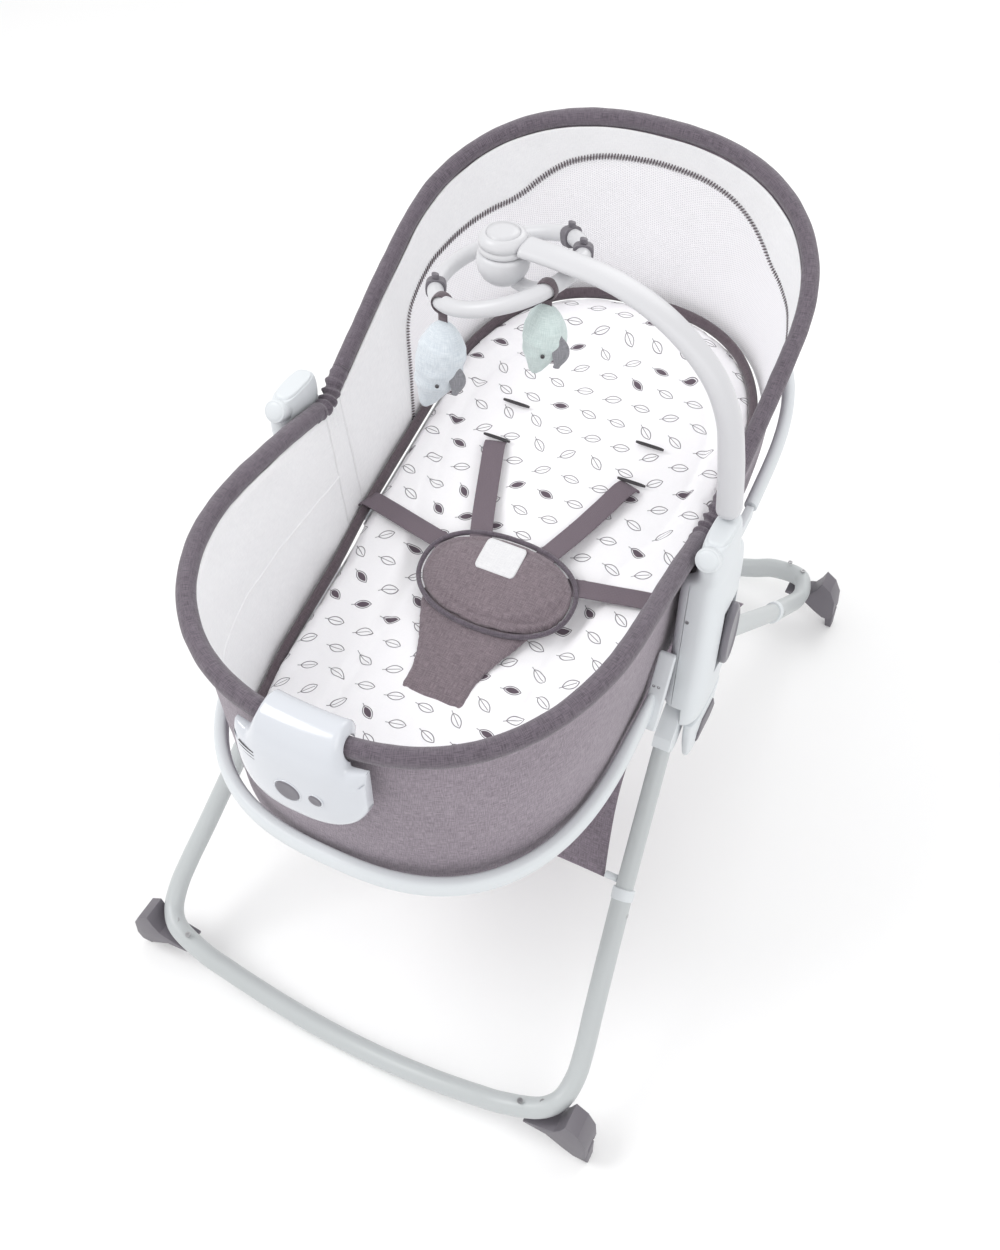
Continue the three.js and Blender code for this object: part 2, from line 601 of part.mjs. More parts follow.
function ringOfToys() {
  const ring = merged(new THREE.TorusGeometry(TOY_RING.radius, TOY_RING.tube, 8, 30));
  ring.rotateY(-rad(TOY_RING.tilt)).translate(TOY_RING.x, TOY_RING.y, TOY_RING.z);
  const end = ringPoint(-20);
  const spoke = tube([V(20, ARCH.y - 3, 773), V(36, ARCH.y - 4, 776), end], () => [6, 5], V(0, 0, 1), 8);
  return join(ring, spoke);
}

// Plush animal hanging on its ribbon: a soft drop that leans towards its tail.
function plush(top, length, width, lean) {
  const radii = [[0.02, 0.25], [0.1, 0.6], [0.25, 0.92], [0.45, 1], [0.65, 0.85], [0.82, 0.55], [0.94, 0.4], [1, 0.25]];
  const points = radii.map(([u]) => top.clone().add(V(lean * u * u, 0, -length * u)));
  const rings = points.map((p, i) => spread(0, 2 * Math.PI, 13).slice(0, -1).map((a) =>
    p.clone().add(V(width * radii[i][1] * Math.cos(a), 0.75 * width * radii[i][1] * Math.sin(a), 0))));
  return loft(rings);
}

function buildToys() {
  add('arch_disc', turned([[0, 818], [15, 818], [20.5, 813], [20.5, 801], [0, 801]]), PAINT.shell);
  add('toy_swivel', turned([[0, 800], [21.5, 800], [22.5, 790], [18, 777], [9, 771], [0, 770]]), PAINT.shell);
  add('toy_ring', ringOfToys(), PAINT.shell);
  add('plush_blue', plush(ringPoint(-125).add(V(0, 0, -18)), 98, 24, -22), PAINT.plushBlue);
  add('plush_mint', plush(ringPoint(-32).add(V(0, 0, -14)), 72, 20, -10), PAINT.plushMint);
}

// ---- Storage hammock ----
function buildHammock() {
  const rows = spread(0, 1, 9).map((u) => {
    const y = mix(-232, 180, u);
    const half = 200 - 40 * Math.sin(Math.PI * u);
    const z = 222 - 26 * Math.sin(Math.PI * u) + 14 * u;
    return [V(half, y, z), V(half, y, z + 2), V(-half, y, z + 2), V(-half, y, z)];
  });
  add('storage_hammock', loft(rows), PAINT.outer);
  addPair('hammock_peg', rod(V(203, -229, 224), V(217, -229, 224), 4, 10), PAINT.shell);
}

buildRockers();
buildUpperLegs();
buildSockets();
buildFeet();
hubParts();
buildRing();
buildRim();
buildFootWall();
buildPads();
buildHarness();
buildController();
buildBackrest();
buildArch();
buildToys();
buildHammock();

export default seat;
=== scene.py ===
import math

import bmesh
import bpy
import numpy as np
from mathutils import Matrix, Vector, noise


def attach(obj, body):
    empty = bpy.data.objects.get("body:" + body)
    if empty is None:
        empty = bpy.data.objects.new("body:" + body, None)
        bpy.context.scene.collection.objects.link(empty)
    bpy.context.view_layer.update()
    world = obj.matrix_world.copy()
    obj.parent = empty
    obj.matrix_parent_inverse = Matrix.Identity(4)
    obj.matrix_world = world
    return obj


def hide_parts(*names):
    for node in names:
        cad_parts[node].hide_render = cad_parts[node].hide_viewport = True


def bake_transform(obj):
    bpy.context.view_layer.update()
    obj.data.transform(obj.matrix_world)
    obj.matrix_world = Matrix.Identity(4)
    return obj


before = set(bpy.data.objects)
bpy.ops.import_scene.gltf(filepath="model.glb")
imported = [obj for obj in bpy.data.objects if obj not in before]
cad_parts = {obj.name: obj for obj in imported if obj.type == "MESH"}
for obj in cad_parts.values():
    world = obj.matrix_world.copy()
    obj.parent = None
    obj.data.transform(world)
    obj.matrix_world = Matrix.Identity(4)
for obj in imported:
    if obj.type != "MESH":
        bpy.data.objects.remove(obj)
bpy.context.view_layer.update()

SIDES = (("right", 1), ("left", -1))

# ---- Driving dimensions, in metres ----
SLOPE = 0.28  # rise of the lying surface towards the head
RECLINE = dict(y=-0.060, z=0.448)
FOLD = dict(y=-0.035, z=0.394)
PAD = dict(z=0.434, half=0.182, thick=0.021, foot=-0.386, level=-0.255, head=0.320)
RIM = dict(half=0.2025, centre=-0.193, length=0.2185, power=2.4)
RIM_Z, RIM_RISE, RIM_R = 0.561, 0.018, 0.0090
HOOP = dict(half=0.211, centre=0.184, length=0.194, power=2.3)
HOOP_ROOT, HOOP_PITCH, HOOP_R = (-0.039, 0.567), math.radians(27.3), 0.0086
RING = dict(half=0.199, centre=-0.187, length=0.223, power=2.6)
REAR_RING = dict(half=0.207, centre=0.130, length=0.218, power=2.6)
HEAD_FOOT = dict(half=0.190, centre=0.120, length=0.215, power=2.5)  # lower edge of the head wall
FOOT_FOOT = dict(half=0.187, centre=-0.193, length=0.205, power=2.4)  # lower edge of the foot wall


def srgb(red, green, blue):
    """A colour given as 0 to 255, made linear."""
    return tuple(((c / 255 + 0.055) / 1.055) ** 2.4 for c in (red, green, blue)) + (1.0,)


# ---- Camera, light and floor ----
def make_camera():
    data = bpy.data.cameras.new("camera")
    data.lens = 37.46
    data.sensor_width = 36
    camera = bpy.data.objects.new("camera", data)
    target = Vector((-0.0173, -0.0339, 0.300))
    azimuth, elevation, distance = math.radians(26.91), math.radians(48.38), 1.46077
    back = Vector((math.sin(azimuth) * math.cos(elevation), -math.cos(azimuth) * math.cos(elevation),
                   math.sin(elevation)))
    camera.location = target + distance * back
    camera.rotation_euler = back.to_track_quat("Z", "Y").to_euler()
    bpy.context.scene.collection.objects.link(camera)
    bpy.context.scene.camera = camera


def area_light(name, place, aim, size, power):
    data = bpy.data.lights.new(name, "AREA")
    data.shape, data.size, data.energy = "DISK", size, power
    lamp = bpy.data.objects.new(name, data)
    lamp.location = place
    lamp.rotation_euler = (Vector(place) - Vector(aim)).to_track_quat("Z", "Y").to_euler()
    bpy.context.scene.collection.objects.link(lamp)


def make_studio():
    world = bpy.data.worlds.new("studio")
    world.use_nodes = True
    background = world.node_tree.nodes["Background"]
    background.inputs["Color"].default_value = (1, 1, 1, 1)
    background.inputs["Strength"].default_value = 0.85
    bpy.context.scene.view_settings.view_transform = "Standard"
    bpy.context.scene.world = world
    area_light("key", (-1.6, -1.2, 2.6), (0, 0, 0.4), 1.6, 34)
    area_light("fill", (1.9, -0.9, 1.9), (0, 0, 0.4), 2.2, 16)
    area_light("rim_light", (0.3, 2.2, 2.2), (0, 0, 0.4), 1.8, 18)
    mesh = bpy.data.meshes.new("floor")
    mesh.from_pydata([(-9, -9, 0), (9, -9, 0), (9, 9, 0), (-9, 9, 0)], [], [(0, 1, 2, 3)])
    floor = bpy.data.objects.new("floor", mesh)
    bpy.context.scene.collection.objects.link(floor)
    material = bpy.data.materials.new("floor")
    material.use_nodes = True
    shader = material.node_tree.nodes["Principled BSDF"]
    shader.inputs["Base Color"].default_value = (0.93, 0.93, 0.93, 1)
    shader.inputs["Roughness"].default_value = 0.8
    mesh.materials.append(material)


# ---- Node trees ----
class Wire:
    """A number in a node tree. Arithmetic on it adds Math nodes."""

    def __init__(self, tree, socket):
        self.tree, self.socket = tree, socket

    def math(self, operation, *others):
        node = self.tree.nodes.new("ShaderNodeMath")
        node.operation = operation
        for slot, value in zip(node.inputs, (self,) + others):
            plug(self.tree, slot, value)
        return Wire(self.tree, node.outputs[0])

    def __add__(self, other): return self.math("ADD", other)
    def __sub__(self, other): return self.math("SUBTRACT", other)
    def __mul__(self, other): return self.math("MULTIPLY", other)
    def __truediv__(self, other): return self.math("DIVIDE", other)
    def less(self, other): return self.math("LESS_THAN", other)
    def more(self, other): return self.math("GREATER_THAN", other)
    def low(self, other): return self.math("MINIMUM", other)
    def high(self, other): return self.math("MAXIMUM", other)
    def size(self): return self.math("ABSOLUTE")
    def fraction(self): return self.math("FRACT")
    def floor(self): return self.math("FLOOR")
    def blended(self, other, reach): return self.math("SMOOTH_MIN", other, reach)


def plug(tree, slot, value):
    if isinstance(value, Wire):
        tree.links.new(value.socket, slot)
    elif hasattr(value, "is_output"):
        tree.links.new(value, slot)
    else:
        slot.default_value = value


def add_node(tree, kind, properties=(), **inputs):
    node = tree.nodes.new(kind)
    for name, value in dict(properties).items():
        setattr(node, name, value)
    for name, value in inputs.items():
        plug(tree, node.inputs[name.replace("_", " ")], value)
    return node


def distance(x, y, cx, cy):
    dx, dy = x - cx, y - cy
    return (dx * dx + dy * dy).math("SQRT")


def ramp(tree, value, low, high, to_low=0.0, to_high=1.0):
    node = add_node(tree, "ShaderNodeMapRange", {"clamp": True, "interpolation_type": "SMOOTHSTEP"})
    for slot, number in zip(node.inputs, (value, low, high, to_low, to_high)):
        plug(tree, slot, number)
    return Wire(tree, node.outputs[0])


def mixed(tree, share, first, second):
    node = tree.nodes.new("ShaderNodeMix")
    node.data_type = "RGBA"
    plug(tree, node.inputs[0], share)
    plug(tree, node.inputs[6], first)
    plug(tree, node.inputs[7], second)
    return node.outputs[2]


def new_group(name, inputs, outputs):
    """A shader node group with named sockets: its tree, and its input sockets by name."""
    tree = bpy.data.node_groups.new(name, "ShaderNodeTree")
    for label, (kind, value) in inputs.items():
        socket = tree.interface.new_socket(name=label, in_out="INPUT", socket_type=kind)
        if value is not None:
            socket.default_value = value
    for label, kind in outputs.items():
        tree.interface.new_socket(name=label, in_out="OUTPUT", socket_type=kind)
    entry = tree.nodes.new("NodeGroupInput")
    return tree, {label: entry.outputs[label] for label in inputs}


def close_group(tree, **results):
    leave = tree.nodes.new("NodeGroupOutput")
    for label, value in results.items():
        plug(tree, leave.inputs[label], value)
    return tree


def split(tree, vector):
    node = add_node(tree, "ShaderNodeSeparateXYZ", Vector=vector)
    return Wire(tree, node.outputs[0]), Wire(tree, node.outputs[1])


def joined(tree, x, y, z=0.0):
    return add_node(tree, "ShaderNodeCombineXYZ", X=x, Y=y, Z=z).outputs[0]


def streaks(tree, x, y, along, across, detail=2.0):
    place = joined(tree, x * along, y * across)
    node = add_node(tree, "ShaderNodeTexNoise", Vector=place, Scale=1.0, Detail=detail)
    return Wire(tree, node.outputs[0])


FLOAT, COLOUR, VECTOR = "NodeSocketFloat", "NodeSocketColor", "NodeSocketVector"


def melange_group():
    """Two-tone yarn woven plain: flecks along both thread directions, and the weave's height."""
    tree, given = new_group("melange_weave", {
        "Place": (VECTOR, None), "Light": (COLOUR, (0.3, 0.3, 0.3, 1)), "Dark": (COLOUR, (0.1, 0.1, 0.1, 1)),
        "Thread": (FLOAT, 0.0009)}, {"Color": COLOUR, "Height": FLOAT, "Roughness": FLOAT})
    x, y = split(tree, given["Place"])
    warp = streaks(tree, x, y, 1500, 110)
    weft = streaks(tree, x, y, 110, 1500)
    cloud = streaks(tree, x, y, 14, 14)
    fleck = ramp(tree, warp * 0.5 + weft * 0.5, 0.36, 0.64)
    shade = fleck * 0.8 + cloud * 0.3 - 0.05
    turns = Wire(tree, given["Thread"]).math("POWER", -1.0) * math.pi
    weave = (x * turns).math("SINE") * (y * turns).math("SINE")
    colour = mixed(tree, shade, given["Dark"], given["Light"])
    return close_group(tree, Color=colour, Height=weave.size() * 0.6 + fleck * 0.4,
                       Roughness=fleck * -0.12 + 0.95)


def plastic_group():
    """Moulded or painted skin: faint mottling, fine grain, lighter worn edges and painted shade in the hollows."""
    tree, given = new_group("moulded_skin", {
        "Place": (VECTOR, None), "Base": (COLOUR, (0.5, 0.5, 0.5, 1)), "Gloss": (FLOAT, 0.4),
        "Grain": (FLOAT, 900.0), "Wear": (FLOAT, 0.12)},
        {"Color": COLOUR, "Roughness": FLOAT, "Height": FLOAT})
    cloud = Wire(tree, add_node(tree, "ShaderNodeTexNoise", Vector=given["Place"], Scale=9.0,
                                Detail=3.0).outputs[0])
    grain = Wire(tree, add_node(tree, "ShaderNodeTexNoise", Vector=given["Place"], Scale=given["Grain"],
                                Detail=2.0).outputs[0])
    bend = Wire(tree, add_node(tree, "ShaderNodeNewGeometry").outputs["Pointiness"])
    # The Wear input scales both the lighter worn edges and the painted shade in the hollows.
    edge = ramp(tree, bend, 0.52, 0.60) * Wire(tree, given["Wear"])
    # Painted shade: low pointiness (the hollows) is darkened towards near black (0.12, 0.11, 0.11).
    painted_hollow_shade = ramp(tree, bend, 0.48, 0.42) * Wire(tree, given["Wear"])
    tint = add_node(tree, "ShaderNodeHueSaturation", Color=given["Base"],
                    Value=cloud * 0.08 + 0.96).outputs[0]
    lit = mixed(tree, edge, tint, (1, 1, 1, 1))
    colour = mixed(tree, painted_hollow_shade, lit, (0.12, 0.11, 0.11, 1))
    return close_group(tree, Color=colour, Roughness=cloud * 0.12 + Wire(tree, given["Gloss"]) - 0.06,
                       Height=grain)


def print_group():
    """White cotton with a small line print: single leaves in a brick repeat, each turned its own way, some
    of them filled."""
    tree, given = new_group("leaf_print", {
        "Place": (VECTOR, None), "Cloth": (COLOUR, (0.8, 0.8, 0.8, 1)), "Line": (COLOUR, (0.2, 0.2, 0.2, 1)),
        "Fill": (COLOUR, (0.08, 0.05, 0.07, 1))}, {"Color": COLOUR, "Height": FLOAT})
    x, y = split(tree, given["Place"])
    width, height = 0.034, 0.028
    round_radius, round_offset, pen = 11.0, 6.5, 0.45
    row = (y / height).floor()
    shifted = x / width + (row * 0.5).fraction() * 1.0
    column = shifted.floor()
    cell = add_node(tree, "ShaderNodeTexWhiteNoise", {"noise_dimensions": "2D"},
                    Vector=joined(tree, column, row))
    seed = Wire(tree, cell.outputs["Value"])
    px = (shifted.fraction() - 0.5) * (width * 1000)
    py = ((y / height).fraction() - 0.5) * (height * 1000)
    angle = ((seed * 37.7).fraction() - 0.5) * 1.6
    cosine, sine = angle.math("COSINE"), angle.math("SINE")
    u = px * cosine - py * sine
    v = px * sine + py * cosine
    leaf = distance(u, v, 0.0, -round_offset).high(distance(u, v, 0.0, round_offset)) - round_radius
    rib = (v.size() - pen * 0.8).high((u + 3.0).size() - 9.5)
    line_mask = ramp(tree, (leaf.size() - pen).low(rib), 0.28, -0.28)
    fill_mask = ramp(tree, leaf + 1.2, 0.25, -0.25) * (seed * 5.9).fraction().more(0.72)
    warp, weft = streaks(tree, x, y, 900, 120), streaks(tree, x, y, 120, 900)
    thread = warp * 0.5 + weft * 0.5
    cloth = add_node(tree, "ShaderNodeHueSaturation", Color=given["Cloth"],
                     Value=thread * 0.10 + 0.95).outputs[0]
    inked = mixed(tree, line_mask * 0.95, cloth, given["Line"])
    return close_group(tree, Color=mixed(tree, fill_mask, inked, given["Fill"]), Height=thread)


def net_group():
    """Knitted net: a fine lattice of holes, with the threads' height."""
    tree, given = new_group("fine_net", {"Place": (VECTOR, None), "Pitch": (FLOAT, 0.0022)},
                            {"Hole": FLOAT, "Height": FLOAT})
    x, y = split(tree, given["Place"])
    pitch = Wire(tree, given["Pitch"])
    row = (y / pitch).floor()
    u = (x / pitch + (row * 0.5).fraction()).fraction()
    hole = distance(u, (y / pitch).fraction(), 0.5, 0.5)
    return close_group(tree, Hole=ramp(tree, hole, 0.34, 0.22), Height=ramp(tree, hole, 0.2, 0.5))


def rib_group():
    """Webbing: ribs across the strap and a fine selvedge grain along it."""
    tree, given = new_group("webbing_rib", {"Place": (VECTOR, None), "Base": (COLOUR, (0.1, 0.1, 0.1, 1))},
                            {"Color": COLOUR, "Height": FLOAT})
    x, y = split(tree, given["Place"])
    rib = (x * (math.pi / 0.0014)).math("SINE").size()
    cord = (y * (math.pi / 0.0021)).math("SINE").size()
    fleck = streaks(tree, x, y, 700, 700)
    colour = add_node(tree, "ShaderNodeHueSaturation", Color=given["Base"],
                      Value=rib * 0.16 + fleck * 0.3 + 0.76).outputs[0]
    return close_group(tree, Color=colour, Height=rib * 0.6 + cord * 0.4)


GROUPS = {"melange": melange_group(), "plastic": plastic_group(), "print": print_group(), "net": net_group(),
          "rib": rib_group()}


def new_material(name, group, coordinate, bump, bump_reach, roughness=0.5, **values):
    """A Principled material fed by one of the groups, with the group's height as bump."""
    material = bpy.data.materials.new(name)
    material.use_nodes = True
    tree = material.node_tree
    shader = tree.nodes["Principled BSDF"]
    place = tree.nodes.new("ShaderNodeTexCoord").outputs[coordinate]
    node = tree.nodes.new("ShaderNodeGroup")
    node.node_tree = GROUPS[group]
    plug(tree, node.inputs["Place"], place)
    for label, value in values.items():
        plug(tree, node.inputs[label], value)
    dent = add_node(tree, "ShaderNodeBump", Strength=bump, Distance=bump_reach, Height=node.outputs["Height"])
    plug(tree, shader.inputs["Normal"], dent.outputs[0])
    if "Color" in node.outputs:
        plug(tree, shader.inputs["Base Color"], node.outputs["Color"])
    if "Roughness" in node.outputs:
        plug(tree, shader.inputs["Roughness"], node.outputs["Roughness"])
    else:
        shader.inputs["Roughness"].default_value = roughness
    return material, shader, node


def fabric(name, light, dark, thread=0.0009):
    material, shader, _ = new_material(name, "melange", "UV", 0.5, 0.0004, Light=light, Dark=dark,
                                       Thread=thread)
    shader.inputs["Sheen Weight"].default_value = 0.25
    shader.inputs["Sheen Roughness"].default_value = 0.6
    return material


def plastic(name, colour, gloss, grain=900.0, bump=0.08, wear_and_hollow_shade=0.10, coat=0.0, metallic=0.0):
    material, shader, _ = new_material(name, "plastic", "Object", bump, 0.0002, Base=colour, Gloss=gloss,
                                       Grain=grain, Wear=wear_and_hollow_shade)
    shader.inputs["Coat Weight"].default_value = coat
    shader.inputs["Coat Roughness"].default_value = 0.08
    shader.inputs["Metallic"].default_value = metallic
    return material


def net_material():
    material, shader, node = new_material("white_net", "net", "UV", 0.4, 0.0004, roughness=0.85, Pitch=0.0024)
    tree = material.node_tree
    plug(tree, shader.inputs["Base Color"],
         mixed(tree, node.outputs["Hole"], srgb(250, 249, 251), srgb(226, 225, 229)))
    return material


def print_material():
    material, shader, _ = new_material("printed_cotton", "print", "UV", 0.25, 0.0003, roughness=0.9,
                                       Cloth=srgb(251, 250, 252), Line=srgb(84, 78, 86),
                                       Fill=srgb(96, 84, 94))
    shader.inputs["Sheen Weight"].default_value = 0.1
    return material


def webbing_material():
    return new_material("webbing", "rib", "UV", 0.5, 0.0004, roughness=0.8, Base=srgb(112, 101, 109))[0]


M = {
    "tube": plastic("painted_tube", srgb(186, 190, 191), 0.34, grain=500.0, bump=0.05, wear_and_hollow_shade=0.12),
    "shell": plastic("moulded_shell", srgb(212, 216, 219), 0.42),
    "arch": plastic("moulded_arch", srgb(204, 204, 207), 0.35),
    "dark": plastic("dark_plastic", srgb(106, 102, 109), 0.45, wear_and_hollow_shade=0.06),
    "button": plastic("button_plastic", srgb(108, 105, 113), 0.3, wear_and_hollow_shade=0.05),
    "glossy": plastic("glossy_case", srgb(204, 207, 213), 0.16, bump=0.02, coat=0.5, wear_and_hollow_shade=0.05),
    "steel": plastic("steel", srgb(150, 150, 152), 0.32, metallic=0.9),
    # Near black: painted shade inside the strap slits and speaker slots, and the plush eyes' own dark colour.
    "slit": plastic("slit_shade_and_eye_black", srgb(48, 44, 48), 0.7),
    "rim": fabric("rim_fabric", srgb(112, 102, 113), srgb(72, 64, 73)),
    "outer": fabric("wall_fabric", srgb(154, 142, 153), srgb(104, 93, 104)),
    "cover": fabric("cover_fabric", srgb(140, 127, 133), srgb(101, 89, 96)),
    "binding": fabric("binding", srgb(98, 85, 92), srgb(72, 61, 68)),
    "lining": fabric("white_lining", srgb(247, 247, 248), srgb(236, 236, 238)),
    "label": fabric("blank_label", srgb(238, 238, 239), srgb(224, 224, 226), thread=0.0005),
    "felt": fabric("grey_felt", srgb(150, 150, 156), srgb(118, 118, 124)),
    "blue": fabric("pale_blue_plush", srgb(222, 228, 233), srgb(196, 205, 213)),
    "mint": fabric("pale_mint_plush", srgb(216, 228, 226), srgb(190, 206, 204)),
    "net": net_material(),
    "print": print_material(),
    "webbing": webbing_material(),
}


# ---- Curves ----
def smooth_path(points, count):
    """Evenly spaced points on the centripetal curve through a list of points."""
    p = np.array(points, float)
    p = np.vstack([2 * p[0] - p[1], p, 2 * p[-1] - p[-2]])
    t = np.linspace(0, 1, 24, endpoint=False)[:, None]
    dense = []
    for p0, p1, p2, p3 in zip(p, p[1:], p[2:], p[3:]):
        d0, d1, d2 = (max(np.linalg.norm(b - a), 1e-9) ** 0.5 for a, b in ((p0, p1), (p1, p2), (p2, p3)))
        m1 = ((p1 - p0) / d0 - (p2 - p0) / (d0 + d1) + (p2 - p1) / d1) * d1
        m2 = ((p2 - p1) / d1 - (p3 - p1) / (d1 + d2) + (p3 - p2) / d2) * d1
        dense.append((2 * t**3 - 3 * t**2 + 1) * p1 + (t**3 - 2 * t**2 + t) * m1
                     + (3 * t**2 - 2 * t**3) * p2 + (t**3 - t**2) * m2)
    dense = np.vstack(dense + [p[-2:-1]])
    return even(dense, count)


def even(points, count):
    points = np.asarray(points, float)
    along = np.r_[0, np.cumsum(np.linalg.norm(np.diff(points, axis=0), axis=1))]
    wanted = np.linspace(0, along[-1], count)
    return np.stack([np.interp(wanted, along, points[:, k]) for k in range(points.shape[1])], 1)


def tub_end(plan, start, count, start_half=None):
    """Evenly spaced plan points of a tub end: straight sides joined by a superellipse, from x > 0 to x < 0."""
    half, centre, length, power = plan["half"], plan["centre"], plan["length"], plan["power"]
    start_half = half if start_half is None else start_half
    way = 1 if centre > start else -1
    u = np.linspace(0, 1, 30)[:-1]
    side = np.stack([start_half + (half - start_half) * np.sin(u * np.pi / 2),
                     start + (centre - start) * u], 1)
    a = np.linspace(0, np.pi, 240)
    end = np.stack([half * np.sign(np.cos(a)) * np.abs(np.cos(a)) ** (2 / power),
                    centre + way * length * np.abs(np.sin(a)) ** (2 / power)], 1)
    return even(np.vstack([side, end, (side * (-1, 1))[::-1]]), count)


def pad_z(y):
    return PAD["z"] + SLOPE * np.maximum(y, PAD["level"])


def rim_z(y):
    u = (RECLINE["y"] - y) / (RECLINE["y"] - RIM["centre"] + RIM["length"])
    return RIM_Z + RIM_RISE * 4 * u * (1 - u)


def hoop_point(x, q):
    return np.stack([x, HOOP_ROOT[0] + q * math.cos(HOOP_PITCH), HOOP_ROOT[1] + q * math.sin(HOOP_PITCH)], -1)


def step(value, low, high):
    t = np.clip((value - low) / (high - low), 0, 1)
    return t * t * (3 - 2 * t)


# ---- Meshes ----
def link(name, mesh, material):
    thing = bpy.data.objects.new(name, mesh)
    bpy.context.scene.collection.objects.link(thing)
    mesh.materials.clear()
    mesh.materials.append(material)
    return thing


def skin(name, grid, material, wrap=False, caps=False):
    """A smooth mesh over a grid of points, with a UV map in metres along its rows and around its columns."""
    grid = np.asarray(grid, float)
    rows, cols = grid.shape[:2]
    across = cols if wrap else cols - 1
    i, j = np.meshgrid(np.arange(rows - 1), np.arange(across), indexing="ij")
    k = (j + 1) % cols
    faces = np.stack([i * cols + j, i * cols + k, (i + 1) * cols + k, (i + 1) * cols + j], -1).reshape(-1, 4)
    wheel = np.concatenate([grid, grid[:, :1]], 1) if wrap else grid
    u = np.r_[0, np.cumsum(np.linalg.norm(np.diff(wheel, axis=0), axis=2).mean(1))]
    v = np.r_[0, np.cumsum(np.linalg.norm(np.diff(wheel, axis=1), axis=2).mean(0))]
    uv = np.stack([u[i], v[j], u[i], v[j + 1], u[i + 1], v[j + 1], u[i + 1], v[j]], -1).reshape(-1, 2)
    faces = [tuple(f) for f in faces.tolist()]
    if caps:
        faces += [tuple(range(cols))[::-1], tuple(range((rows - 1) * cols, rows * cols))]
    mesh = bpy.data.meshes.new(name)
    mesh.from_pydata(grid.reshape(-1, 3).tolist(), [], faces)
    layer = mesh.uv_layers.new(name="UVMap")
    flat = np.zeros((len(mesh.loops), 2), np.float32)
    flat[:len(uv)] = uv
    layer.data.foreach_set("uv", flat.ravel())
    mesh.shade_smooth()
    thing = link(name, mesh, material)
    if wrap and caps:
        face_outward(mesh)
    return thing


def face_outward(mesh):
    work = bmesh.new()
    work.from_mesh(mesh)
    bmesh.ops.recalc_face_normals(work, faces=work.faces)
    if work.calc_volume(signed=True) < 0:
        bmesh.ops.reverse_faces(work, faces=work.faces)
    work.to_mesh(mesh)
    work.free()


def sections(path, size, reference, sides, power=2.0):
    """Rings of a tube along a path; size(u) gives its half thickness across and along the reference."""
    path = np.asarray(path, float)
    along = np.gradient(path, axis=0)
    along /= np.linalg.norm(along, axis=1)[:, None]
    across = np.cross(along, np.array(reference, float))
    across /= np.linalg.norm(across, axis=1)[:, None]
    up = np.cross(across, along)
    a = np.linspace(0, 2 * np.pi, sides, endpoint=False)
    c = np.sign(np.cos(a)) * np.abs(np.cos(a)) ** (2 / power)
    s = np.sign(np.sin(a)) * np.abs(np.sin(a)) ** (2 / power)
    sizes = np.array([size(u) for u in np.linspace(0, 1, len(path))])
    return (path[:, None] + sizes[:, :1, None] * across[:, None] * c[None, :, None]
            + sizes[:, 1:, None] * up[:, None] * s[None, :, None])


def rounded(rings, radius, steps=4):
    """Rings with their two ends drawn in to a rounded edge."""
    def end(ring, toward):
        centre = ring.mean(0)
        axis = centre - toward
        axis = axis / np.linalg.norm(axis)
        reach = np.linalg.norm(ring - centre, axis=1).max()
        turned = [centre + (ring - centre) * (1 - (radius / reach) * (1 - math.cos(a)))
                  + axis * radius * (math.sin(a) - 1) for a in np.linspace(0, math.pi / 2, steps)]
        return turned
    first = end(rings[0], rings[1].mean(0))[::-1]
    last = end(rings[-1], rings[-2].mean(0))
    return np.array(list(first) + list(rings[1:-1]) + list(last))


def tube(name, path, size, material, reference=(0, 0, 1), sides=24, edge=0.0012, power=2.0):
    if not callable(size):
        fixed = size
        size = lambda u: fixed
    rings = sections(path, size, reference, sides, power)
    return skin(name, rounded(rings, edge), material, wrap=True, caps=True)


def flipped(grid):
    """The mirror image of a grid, with its rows turned so that its faces still point the same way out."""
    return np.asarray(grid)[:, ::-1] * (-1, 1, 1)


def bevelled_copy(node, material, width=0.0012, name=None):
    """A clean copy of a CAD solid: merged, its flat faces joined, and its edges rounded."""
    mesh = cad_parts[node].data.copy()
    mesh.name = name or f"{node}_moulded"
    work = bmesh.new()
    work.from_mesh(mesh)
    bmesh.ops.remove_doubles(work, verts=work.verts, dist=2e-5)
    bmesh.ops.dissolve_limit(work, angle_limit=math.radians(3), verts=work.verts, edges=work.edges)
    work.to_mesh(mesh)
    work.free()
    thing = link(mesh.name, mesh, material)
    bevel = thing.modifiers.new("round", "BEVEL")
    bevel.width, bevel.segments, bevel.limit_method, bevel.angle_limit = width, 3, "ANGLE", math.radians(24)
    bevel.use_clamp_overlap = True
    bake(thing)
    thing.data.shade_smooth()
    set_sharp(thing, 40)
    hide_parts(node)
    return thing


def set_sharp(thing, degrees):
    work = bmesh.new()
    work.from_mesh(thing.data)
    for e in work.edges:
        e.smooth = len(e.link_faces) != 2 or e.calc_face_angle(0) < math.radians(degrees)
    work.to_mesh(thing.data)
    work.free()


def bake(thing):
    """Turns an object with its modifiers into a plain mesh."""
    graph = bpy.context.evaluated_depsgraph_get()
    mesh = bpy.data.meshes.new_from_object(thing.evaluated_get(graph), depsgraph=graph)
    thing.modifiers.clear()
    thing.data = mesh
    return thing


def place(thing, body, slot, *nodes):
    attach(thing, body)
    if nodes:
        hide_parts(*nodes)
    return thing


def bend(thing, slot, *nodes):
    """Fabric that crosses the recline joint."""
    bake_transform(thing)
    if nodes:
        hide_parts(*nodes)
    return thing


def solidify(thing, thickness, offset=0.0):
    plate = thing.modifiers.new("thickness", "SOLIDIFY")
    plate.thickness, plate.offset = thickness, offset
    return bake(thing)


